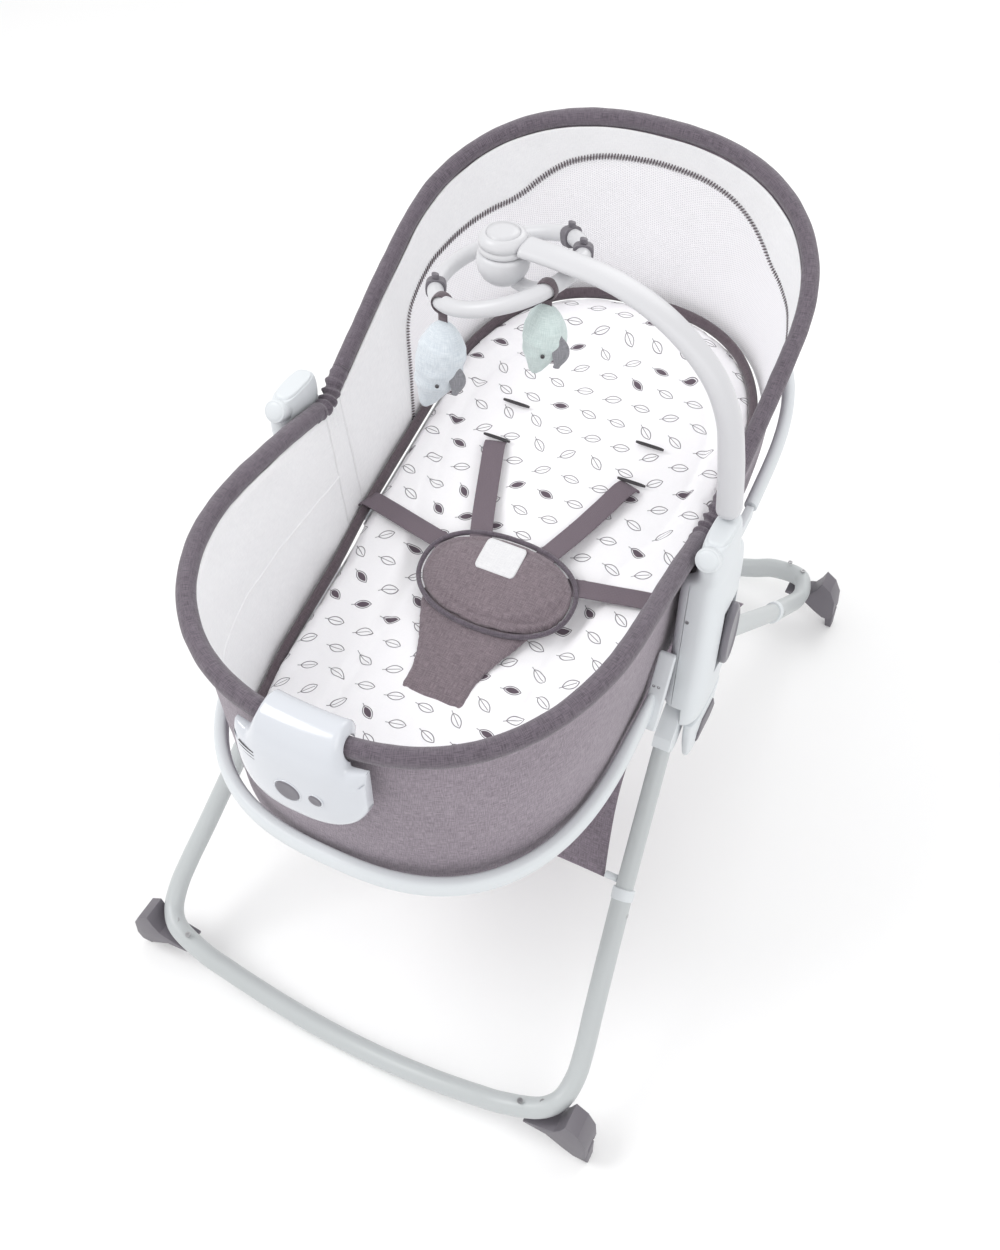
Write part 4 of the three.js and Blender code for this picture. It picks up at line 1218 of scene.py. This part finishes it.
def make_crotch():
    y = np.r_[np.linspace(CROTCH_LOW, CROTCH_TOP, 60)]
    half = crotch_half(y)
    ring = np.vstack([np.c_[half - 0.002, y], np.c_[-half - 0.002, y][::-1]])
    outline = even(np.vstack([ring, ring[:1]]), 161)[:-1]
    piece = slab("crotch_cloth", outline, (None, 0.004, 0.001, 0, 0.001, 0.003, None),
                 (0.0006, 0.0006, 0.0012, 0.0035, 0.0060, 0.0068, 0.0070), M["cover"],
                 lift=lambda y: pad_z(y) + CROTCH_LIFT)
    inflate(piece, 0.003, 2.5, 0.0016)
    co = points_of(piece.data)
    inner = np.abs(np.abs(co[:, 0] + 0.002) - (crotch_half(co[:, 1]) - 0.009))
    foot = np.abs(co[:, 1] - CROTCH_LOW - 0.009)
    top = co[:, 2] > pad_z(co[:, 1]) + CROTCH_LIFT + 0.004
    near = np.minimum(inner, np.where(np.abs(co[:, 0]) < 0.03, foot, 1))
    co[:, 2] -= np.where(top, 0.0012 * np.exp(-(near / 0.0022) ** 2), 0)
    write_points(piece.data, co)
    finer = piece.modifiers.new("finer", "SUBSURF")
    finer.levels = finer.render_levels = 1
    bake(piece).data.shade_smooth()
    flat_uv(piece)
    place(piece, "seat", "cover_fabric", "crotch_piece")


def strap(name, points, half, thickness, count=60):
    """Flat webbing along a line of points on the lying surface."""
    path = smooth_path(points, count)
    return tube(name, path, (half, thickness / 2), M["webbing"], sides=20, edge=0.0005, power=6.0)


def make_straps():
    for side, sign in SIDES:
        points = [on_pad(sign * 0.060 + 0.003, -0.062, 0.0125), on_pad(sign * 0.086, -0.056, 0.0115),
                  on_pad(sign * 0.120, -0.048, 0.0090), on_pad(sign * 0.152, -0.040, 0.0060),
                  on_pad(sign * 0.176, -0.034, 0.0020), on_pad(sign * 0.183, -0.032, -0.0060)]
        waist = strap(f"waist_webbing_{side}", points, 0.0118, 0.0020)
        place(waist, "seat", "webbing", f"waist_strap_{side}")
        points = [on_pad(sign * 0.034, -0.046, 0.0140), on_pad(sign * 0.044, -0.022, 0.0125),
                  on_pad(sign * 0.056, 0.010, 0.0095), on_pad(sign * 0.068, 0.044, 0.0080),
                  on_pad(sign * 0.077, 0.070, 0.0070), on_pad(sign * 0.080, 0.080, 0.0010),
                  on_pad(sign * 0.081, 0.083, -0.0080)]
        shoulder = strap(f"shoulder_webbing_{side}", points, 0.0118, 0.0020)
        bend(shoulder, "webbing", f"shoulder_strap_{side}")
        for label, y in (("used", 0.082), ("spare", 0.130)):
            line = np.array([on_pad(sign * 0.080 + d, y, 0.0046) for d in np.linspace(-0.016, 0.016, 14)])
            # A thin near-black tube lying on the pad at each strap slot: painted shade in the opening.
            slit = tube(f"strap_slit_{label}_{side}", line,
                        lambda u: (0.0022 * math.sin(max(u * (1 - u), 0.02) ** 0.5 * math.pi), 0.0016),
                        M["slit"], sides=12, edge=0.0003)
            place(slit, "backrest", "pad_fabric")


# ---- Controller ----
CASE = dict(half=0.063, low=0.470, depth=0.018, saddle=(0.034, 0.048), top=0.553, bite=0.0104)


def rim_front(x):
    return RIM["centre"] - RIM["length"] * (1 - np.abs(x / RIM["half"]) ** RIM["power"]) ** (1 / RIM["power"])


def case_section(x):
    """Outline of the vibration unit's case for one x: a face below the rim and, near the middle, a saddle over it."""
    full = math.sqrt(max(1 - abs(x / CASE["half"]) ** 2.8, 0.04))
    saddle = 1 - float(step(abs(x), *CASE["saddle"]))
    y, bite = float(rim_front(x)), CASE["bite"]
    low, lip, back = 0.516 + (CASE["low"] - 0.516) * full, float(rim_z(y)) + bite, y - bite
    b = CASE["depth"] * (0.35 + 0.65 * full)
    over = [(-0.95 * b, lip - 0.026), (-0.80 * b, lip - 0.014), (-0.45 * b, lip - 0.002), (0.0, lip + 0.006),
            (bite, lip + 0.010), (bite + 0.009, lip + 0.009), (bite + 0.016, lip + 0.004),
            (bite + 0.020, lip - 0.008),
            (bite + 0.017, lip - 0.009), (bite + 0.009, lip - 0.010), (bite, lip - 0.014)]
    under = [(-0.95 * b, -0.014), (-0.85 * b, -0.007), (-0.65 * b, -0.002), (-0.5 * b, 0), (-0.4 * b, 0),
             (-0.32 * b, 0),
             (-0.24 * b, 0), (-0.16 * b, 0), (-0.08 * b, 0), (0, -0.001), (0, -0.004)]
    face = low + (lip - low) * 0.58
    outline = [(0.0, low), (-0.5 * b, low + 0.0008), (-0.86 * b, low + 0.008 * full),
               (-b, low + 0.022 * full), (-b, face)]
    outline += [(u[0] + (o[0] - u[0]) * saddle, CASE["top"] + u[1] + (o[1] - CASE["top"] - u[1]) * saddle)
                for o, u in zip(over, under)]
    return [(x, back + dy, z) for dy, z in outline]


def make_controller():
    turn = np.linspace(-1, 1, 75)
    xs = (CASE["half"] - 0.001) * np.sign(turn) * np.abs(np.sin(turn * np.pi / 2)) ** 0.85
    rows = [smooth_path(case_section(float(x)) + case_section(float(x))[:1], 85)[:-1] for x in xs]
    case = skin("vibration_case", rounded(np.array(rows), 0.003, 5), M["glossy"], wrap=True, caps=True)
    plan = tub_end(RIM, -0.067, 160)[40:-40]
    way = tube("rim_way", np.c_[plan, rim_z(plan[:, 1])], (CASE["bite"] + 0.0008,) * 2, M["glossy"], sides=40)
    cut_with(case, way)
    soften = case.modifiers.new("round", "BEVEL")
    soften.width, soften.segments, soften.limit_method, soften.angle_limit = 0.0008, 2, "ANGLE", math.radians(50)
    bake(case).data.shade_smooth()
    set_sharp(case, 45)
    place(case, "seat", "gloss_case", "controller_case")
    for name, x, z, radius in (("power_button", -0.005, 0.511, 0.0115), ("mode_button", 0.021, 0.513, 0.006)):
        face = case_section(x)[4][1]
        profile = [(1.0, 0.0016), (1.0, -0.0006), (0.95, -0.0011), (0.85, -0.0012), (0.5, -0.0010),
                   (0.08, -0.0009)]
        a = np.linspace(0, 2 * np.pi, 40, endpoint=False)
        rings = np.array([np.stack([x + radius * k * np.cos(a), np.full(40, face + d),
                                    z + radius * k * np.sin(a)], 1)
                          for k, d in profile])
        press = skin(f"{name}_face", rings, M["button"], wrap=True, caps=True)
        place(press, name, "dark_plastic", name)
        loop = [(x + (radius + 0.0011) * math.cos(t), face - 0.0001, z + (radius + 0.0011) * math.sin(t))
                for t in np.linspace(0, 2 * np.pi, 49)]
        collar = tube(f"{name}_ring", loop, (0.0008, 0.0008), M["glossy"], reference=(0, 1, 0), sides=10,
                      edge=0.0002)
        place(collar, "seat", "gloss_case")
    for k in range(3):
        xs = np.linspace(-0.054, -0.036, 12)
        line = [(x, case_section(x)[4][1] + 0.0004, 0.531 + 0.0045 * k) for x in xs]
        # Near-black thin tubes on the case face: painted shade in the speaker slots.
        slot = tube(f"speaker_slot_{k + 1}", line, (0.0006, 0.0007), M["slit"], sides=8, edge=0.0002)
        place(slot, "seat", "gloss_case")


# ---- Toy arch ----
ARCH_X, ARCH_Y, ARCH_PIVOT, ARCH_TOP, ARCH_R = 0.223, -0.062, 0.6065, 0.808, 0.0115
TOY_RING = dict(x=-0.005, y=-0.042, z=0.768, radius=0.065, tube=0.0072, tilt=math.radians(18))


def ring_point(degrees):
    a = math.radians(degrees)
    flat = Vector((TOY_RING["radius"] * math.cos(a), TOY_RING["radius"] * math.sin(a), 0))
    return np.array(Matrix.Rotation(-TOY_RING["tilt"], 3, "Y") @ flat) + (TOY_RING["x"], TOY_RING["y"],
                                                                          TOY_RING["z"])


def turned(name, profile, material):
    a = np.linspace(0, 2 * np.pi, 64, endpoint=False)
    rings = np.array([np.stack([r * np.cos(a), ARCH_Y + r * np.sin(a), np.full(64, z)], 1) for r,
                      z in profile])
    return skin(name, rings, material, wrap=True, caps=True)


def make_arch():
    knots = [(ARCH_X, ARCH_PIVOT), (0.221, 0.628), (0.2165, 0.665), (0.209, 0.702), (0.190, 0.739),
             (0.150, 0.776),
             (0.103, 0.798), (0.050, 0.806), (0.019, ARCH_TOP)]
    path = smooth_path([(x, ARCH_Y, z) for x, z in knots], 130)
    base = [(ARCH_X, ARCH_Y, ARCH_PIVOT + ARCH_R * math.sin(math.radians(a))) for a in range(-85, 0, 10)]

    def size(u):
        flat = float(step(u, 0.1, 0.75))
        return ARCH_R + (0.006 - ARCH_R) * flat, ARCH_R + (0.0135 - ARCH_R) * flat

    rings = sections(path, size, (0, 1, 0), 32, 2.3)
    foot = []
    for p in base:
        k = math.cos(math.asin(min(0.996, (ARCH_PIVOT - p[2]) / ARCH_R)))
        foot.append((rings[0] - path[0]) * k + p)
    arch = skin("toy_arch_bow", np.array(foot + list(rings)), M["arch"], wrap=True, caps=True)
    place(arch, "arch", "shell_plastic", "toy_arch")
    disc = turned("arch_end_disc", [(0.0195, 0.8010), (0.0203, 0.8018), (0.0205, 0.8060), (0.0196, 0.8064),
                                    (0.0196, 0.8070), (0.0205, 0.8074), (0.0202, 0.8120), (0.0188, 0.8152),
                                    (0.0160, 0.8168), (0.0148, 0.8170), (0.0144, 0.8162), (0.0138, 0.8162),
                                    (0.0134, 0.8176), (0.008, 0.8179), (0.001, 0.8180)], M["arch"])
    place(disc, "arch", "shell_plastic", "arch_disc")


def make_toy_ring():
    swivel = turned("toy_swivel_bowl", [(0.0195, 0.8000), (0.0210, 0.7994), (0.0220, 0.7960), (0.0225,
                                                                                               0.7900),
                                        (0.0215, 0.7840), (0.0185, 0.7780), (0.0140, 0.7735),
                                        (0.0080, 0.7708),
                                        (0.001, 0.7700)], M["arch"])
    place(swivel, "toy_ring", "shell_plastic", "toy_swivel")
    hoop = np.array([ring_point(d) for d in np.linspace(0, 360, 121)])
    rings = sections(np.vstack([hoop, hoop[1:2]]), lambda u: (TOY_RING["tube"],) * 2, (0, 0, 1), 22)[:-1]
    ring = skin("toy_ring_tube", np.vstack([rings[:-1], rings[:1]]), M["arch"], wrap=True)
    close_seams(ring)
    place(ring, "toy_ring", "shell_plastic", "toy_ring")
    spoke_path = smooth_path([(0.012, ARCH_Y - 0.002, 0.7750), (0.022, ARCH_Y - 0.003, 0.7735),
                              (0.036, ARCH_Y - 0.004, 0.7765), ring_point(-20)], 30)
    spoke = tube("toy_ring_spoke", spoke_path, lambda u: (0.0075 - 0.0015 * u, 0.0050), M["arch"], sides=20)
    place(spoke, "toy_ring", "shell_plastic")
    for k, degrees in enumerate((58, 22, 205)):
        p, q = ring_point(degrees - 4), ring_point(degrees + 4)
        clip = tube(f"toy_clip_{k + 1}", np.linspace(p, q, 8), (0.0090, 0.0090), M["dark"], sides=18,
                    edge=0.0008, power=3)
        place(clip, "toy_ring", "dark_plastic")
        knob = ring_point(degrees) + (0, 0, 0.0095)
        stub = tube(f"toy_clip_stub_{k + 1}", np.linspace(knob, knob + (0, 0, 0.0045), 6),
                    (0.0035, 0.0022), M["dark"],
                    reference=(0, 1, 0), sides=14, edge=0.0006)
        place(stub, "toy_ring", "dark_plastic")


def make_plush(name, top, length, width, lean, material):
    """Plush drop that leans towards its tail, with a fin on its side and an eye; its ribbon is made by make_toys."""
    profile = [(0.0, 0.05), (0.02, 0.28), (0.1, 0.6), (0.25, 0.92), (0.45, 1.0), (0.65, 0.85), (0.82, 0.55),
               (0.92, 0.36), (0.97, 0.30), (1.0, 0.08)]
    us = np.linspace(0, 1, 60)
    radius = np.interp(us, *np.array(profile).T) * width
    radius = np.convolve(np.pad(radius, 2, "edge"), np.ones(5) / 5, "valid")
    a = np.linspace(0, 2 * np.pi, 48, endpoint=False)
    rings = []
    for u, r in zip(us, radius):
        centre = top + np.array((lean * u * u, 0, -length * u))
        ring = centre + np.stack([r * np.cos(a), 0.75 * r * np.sin(a), np.zeros(48)], 1)
        rings.append([p + (p - centre) * noise.noise(Vector(p) * 90) * 0.09 for p in ring])
    body = skin(f"{name}_body", np.array(rings), material, wrap=True, caps=True)
    place(body, name, name, name)
    middle = top + np.array((lean * 0.3 + width * 0.80, -width * 0.28, -length * 0.52))
    fin_line = np.array([middle + (0.004 * math.sin(t * math.pi), 0,
                                   0.015 - 0.034 * t) for t in np.linspace(0, 1, 16)])
    fin = tube(f"{name}_fin", fin_line, lambda u: (0.0012, 0.0065 * math.sin(math.pi * min(max(u, 0.12),
                                                                                           0.9)) + 0.001),
                                                                                           M["felt"],
               reference=(1, 0.6, 0), sides=14, edge=0.0006)
    place(fin, name, name)
    spot = top + np.array((lean * 0.36 + width * 0.35, -width * 0.66, -length * 0.60))
    eye = turned(f"{name}_eye", [(0.0018, -0.0006), (0.0018, 0.0004), (0.0010, 0.0012), (0.0002, 0.0014)],
                 M["slit"])
    tilt = Vector((0.3, -0.9, 0)).to_track_quat("Z", "Y").to_matrix().to_4x4()
    eye.data.transform(Matrix.Translation(Vector(spot)) @ tilt @ Matrix.Translation((0, -ARCH_Y, 0)))
    place(eye, name, name)


def make_toys():
    for name, degrees, drop, length, width, lean, finish in (
            ("plush_blue", -125, 0.018, 0.098, 0.0235, -0.022, "blue"),
            ("plush_mint", -32, 0.014, 0.072, 0.0195, -0.010, "mint")):
        point = ring_point(degrees)
        make_plush(name, point + (0, 0, -drop), length, width, lean, M[finish])
        loop = np.array([point + (0.0085 * math.cos(t), 0, 0.0085 * math.sin(t)) for t in np.linspace(0,
                                                                                                      2 * np.pi, 33)])
        ribbon = tube(f"{name}_ribbon_loop", loop, (0.0008, 0.0045), M["binding"], reference=(0, 1, 0),
                      sides=12, edge=0.0003)
        place(ribbon, "toy_ring", "webbing")
        line = np.linspace(point + (0, 0, -0.0088), point + (0, 0, -drop - 0.001), 8)
        stem = tube(f"{name}_ribbon_stem", line, (0.0045, 0.0009), M["binding"], reference=(0, 1, 0),
                    sides=12, edge=0.0003)
        place(stem, "toy_ring", "webbing")


# ---- Storage hammock ----
def hammock_grid(from_y, to_y, rows):
    grid = []
    for y in np.linspace(from_y, to_y, rows):
        u = (y + 0.232) / 0.412
        half = 0.2035 - 0.040 * math.sin(math.pi * u)
        x = np.linspace(half, -half, 60)
        sag = 0.026 * math.sin(math.pi * u) * (1 - 0.45 * (x / half) ** 2)
        fold = np.array([noise.noise(Vector((a * 14, y * 9, 0.2))) * 0.003 for a in x])
        grid.append(np.stack([x, np.full(60, y), 0.223 - sag + 0.014 * u + fold], 1))
    return np.array(grid)


def make_hammock():
    for end, span in (("front", (-0.232, FOLD["y"])), ("rear", (FOLD["y"], 0.180))):
        grid = hammock_grid(*span, 50)
        piece = sheet_piece(f"hammock_{end}", grid, M["outer"])
        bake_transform(piece)
        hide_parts("storage_hammock")
        declare_sheet(grid)


# ---- Fasteners and stitches ----
def marks_tree(name, build_shape, material):
    """Geometry Nodes that set one small shape on every point of a mesh, turned to the point's own normal."""
    tree = bpy.data.node_groups.new(name, "GeometryNodeTree")
    tree.interface.new_socket(name="Places", in_out="INPUT", socket_type="NodeSocketGeometry")
    tree.interface.new_socket(name="Size", in_out="INPUT", socket_type="NodeSocketFloat")
    tree.interface.new_socket(name="Marks", in_out="OUTPUT", socket_type="NodeSocketGeometry")
    entry, leave = tree.nodes.new("NodeGroupInput"), tree.nodes.new("NodeGroupOutput")
    shape = build_shape(tree)
    out = add_node(tree, "GeometryNodeInputNamedAttribute", {"data_type": "FLOAT_VECTOR"}, Name="out")
    side = add_node(tree, "GeometryNodeInputNamedAttribute", {"data_type": "FLOAT_VECTOR"}, Name="side")
    turn = add_node(tree, "FunctionNodeAxesToRotation", {"primary_axis": "Z", "secondary_axis": "X"})
    tree.links.new(out.outputs[0], turn.inputs[0])
    tree.links.new(side.outputs[0], turn.inputs[1])
    scatter = tree.nodes.new("GeometryNodeInstanceOnPoints")
    tree.links.new(entry.outputs["Places"], scatter.inputs["Points"])
    tree.links.new(shape, scatter.inputs["Instance"])
    tree.links.new(turn.outputs[0], scatter.inputs["Rotation"])
    tree.links.new(entry.outputs["Size"], scatter.inputs["Scale"])
    real = tree.nodes.new("GeometryNodeRealizeInstances")
    paint = tree.nodes.new("GeometryNodeSetMaterial")
    paint.inputs["Material"].default_value = material
    tree.links.new(scatter.outputs[0], real.inputs[0])
    tree.links.new(real.outputs[0], paint.inputs[0])
    tree.links.new(paint.outputs[0], leave.inputs["Marks"])
    return tree


def screw_shape(tree):
    """A pan head: a disc with a sunk hexagon."""
    head = add_node(tree, "GeometryNodeMeshCylinder", Vertices=20, Radius=1.0, Depth=0.5)
    dip = add_node(tree, "GeometryNodeMeshCylinder", Vertices=6, Radius=0.45, Depth=0.5)
    down = add_node(tree, "GeometryNodeTransform", Geometry=dip.outputs[0], Translation=(0, 0, 0.35))
    cut = tree.nodes.new("GeometryNodeMeshBoolean")
    cut.operation = "DIFFERENCE"
    tree.links.new(head.outputs[0], cut.inputs["Mesh 1"])
    tree.links.new(down.outputs[0], cut.inputs["Mesh 2"])
    return cut.outputs[0]


def stitch_shape(tree):
    """One stitch: a short rounded thread along X."""
    bar = add_node(tree, "GeometryNodeMeshUVSphere", Segments=8, Rings=5, Radius=0.5)
    return add_node(tree, "GeometryNodeTransform", Geometry=bar.outputs[0],
                    Scale=(1.0, 0.20, 0.16)).outputs[0]


def marks(name, points, outs, sides, tree, size):
    """Repeats a shape on a list of points, as one plain mesh."""
    mesh = bpy.data.meshes.new(name)
    mesh.from_pydata([tuple(p) for p in np.asarray(points, float)], [], [])
    for label, values in (("out", outs), ("side", sides)):
        layer = mesh.attributes.new(label, "FLOAT_VECTOR", "POINT")
        layer.data.foreach_set("vector", np.asarray(values, np.float32).ravel())
    thing = bpy.data.objects.new(name, mesh)
    bpy.context.scene.collection.objects.link(thing)
    nodes = thing.modifiers.new("marks", "NODES")
    nodes.node_group = tree
    inputs = {s.name: s.identifier for s in tree.interface.items_tree if s.in_out == "INPUT"}
    nodes[inputs["Size"]] = size
    bake(thing)
    thing.data.shade_smooth()
    set_sharp(thing, 40)
    return thing


def facing(points, out, side=(1, 0, 0)):
    n = len(points)
    return np.tile(np.asarray(out, float), (n, 1)), np.tile(np.asarray(side, float), (n, 1))


def make_screws():
    tree = marks_tree("pan_screws", screw_shape, M["steel"])
    for end, way in (("front", -1), ("rear", 1)):
        spots, outs = [], []
        for sign in (1, -1):
            for x, y, z in ((0.2275, 0.4200, 0.0840), (0.206, 0.4290, 0.0835)):
                spots.append((sign * x, way * y, z - 0.0012))
                outs.append((0, 0.1 * way, 1))
            seam = np.array(LEGS[end][-1])
            lower = seam + (np.array(LEGS[end][-2]) - seam) * 0.14
            reach = LEG_SIZE[end][0]
            spots.append((sign * (lower[0] + reach * 0.92), lower[1] + way * 0.001, lower[2]))
            outs.append((sign, 0, 0.1))
        piece = marks(f"{end}_leg_rivets", spots, outs, [(0.1, 1, 0)] * len(spots), tree, 0.0031)
        place(piece, f"{end}_legs", "pin_steel")
    spots, outs = [], []
    for sign in (1, -1):
        for x in (0.1985, 0.2035):
            spots.append((sign * x, -0.1335, 0.4225))
            outs.append((0, -0.87, 0.49))
    place(marks("ring_tab_screws", spots, outs, [(1, 0, 0)] * 4, tree, 0.0016), "seat", "pin_steel")
    spots = [(s * 0.2150, -0.1120, 0.500) for s in (1, -1)]
    place(marks("hub_screws", spots, *facing(spots, (0, -1, 0.05)), tree, 0.0020), "seat", "pin_steel")


def line_marks(line, spacing, outward):
    """Points along a line with their outward direction and their direction along the line."""
    line = np.asarray(line, float)
    length = np.linalg.norm(np.diff(line, axis=0), axis=1).sum()
    points = even(line, max(int(length / spacing), 2))
    along = np.gradient(points, axis=0)
    along /= np.linalg.norm(along, axis=1)[:, None]
    outs = np.array([outward(p) for p in points])
    return points, outs, along


PAD_UP = np.array((0, -SLOPE, 1)) / math.hypot(1, SLOPE)


def make_stitches(net_seam):
    dark = marks_tree("dark_stitches", stitch_shape, M["binding"])
    heart = np.array((0, 0.10, 0.58))
    inward = lambda p: (heart - p) * (1, 1, 0.1) / np.linalg.norm((heart - p) * (1, 1, 0.1))
    points, outs, along = line_marks(net_seam, 0.0033, inward)
    across = np.cross(outs, along)
    slant = across + along * 0.3
    place(marks("net_seam_stitches", points + outs * 0.0012, outs, slant, dark, 0.0088), "backrest",
          "lining_fabric")
    cover = marks_tree("cover_stitches", stitch_shape, M["cover"])
    ring = cover_outline(260, 0.012)
    line = np.c_[ring, pad_z(ring[:, 1]) + 0.0206]
    points, outs, along = line_marks(np.vstack([line, line[:1]]), 0.0036, lambda p: PAD_UP)
    place(marks("cover_stitches", points, outs, along, cover, 0.0026), "seat", "cover_fabric")
    edge = []
    for sign in (1, -1):
        y = np.linspace(CROTCH_LOW + 0.009, -0.130, 60)
        edge.append(np.c_[sign * (crotch_half(y) - 0.009) - 0.002, y, pad_z(y) + 0.0072])
    lines = [line_marks(e, 0.0036, lambda p: PAD_UP) for e in edge]
    lines = [np.vstack(parts) for parts in zip(*lines)]
    place(marks("crotch_stitches", *lines, cover, 0.0026), "seat", "cover_fabric")


make_camera()
make_studio()
make_stand()
for side, sign in SIDES:
    make_hub(side, sign)
make_rings()
make_rims()
net_seam = make_head_wall()
make_foot_wall()
make_gussets()
make_pad()
make_boards()
make_cover()
make_label()
make_crotch()
make_straps()
make_controller()
make_arch()
make_toy_ring()
make_toys()
make_hammock()
make_screws()
make_stitches(net_seam)
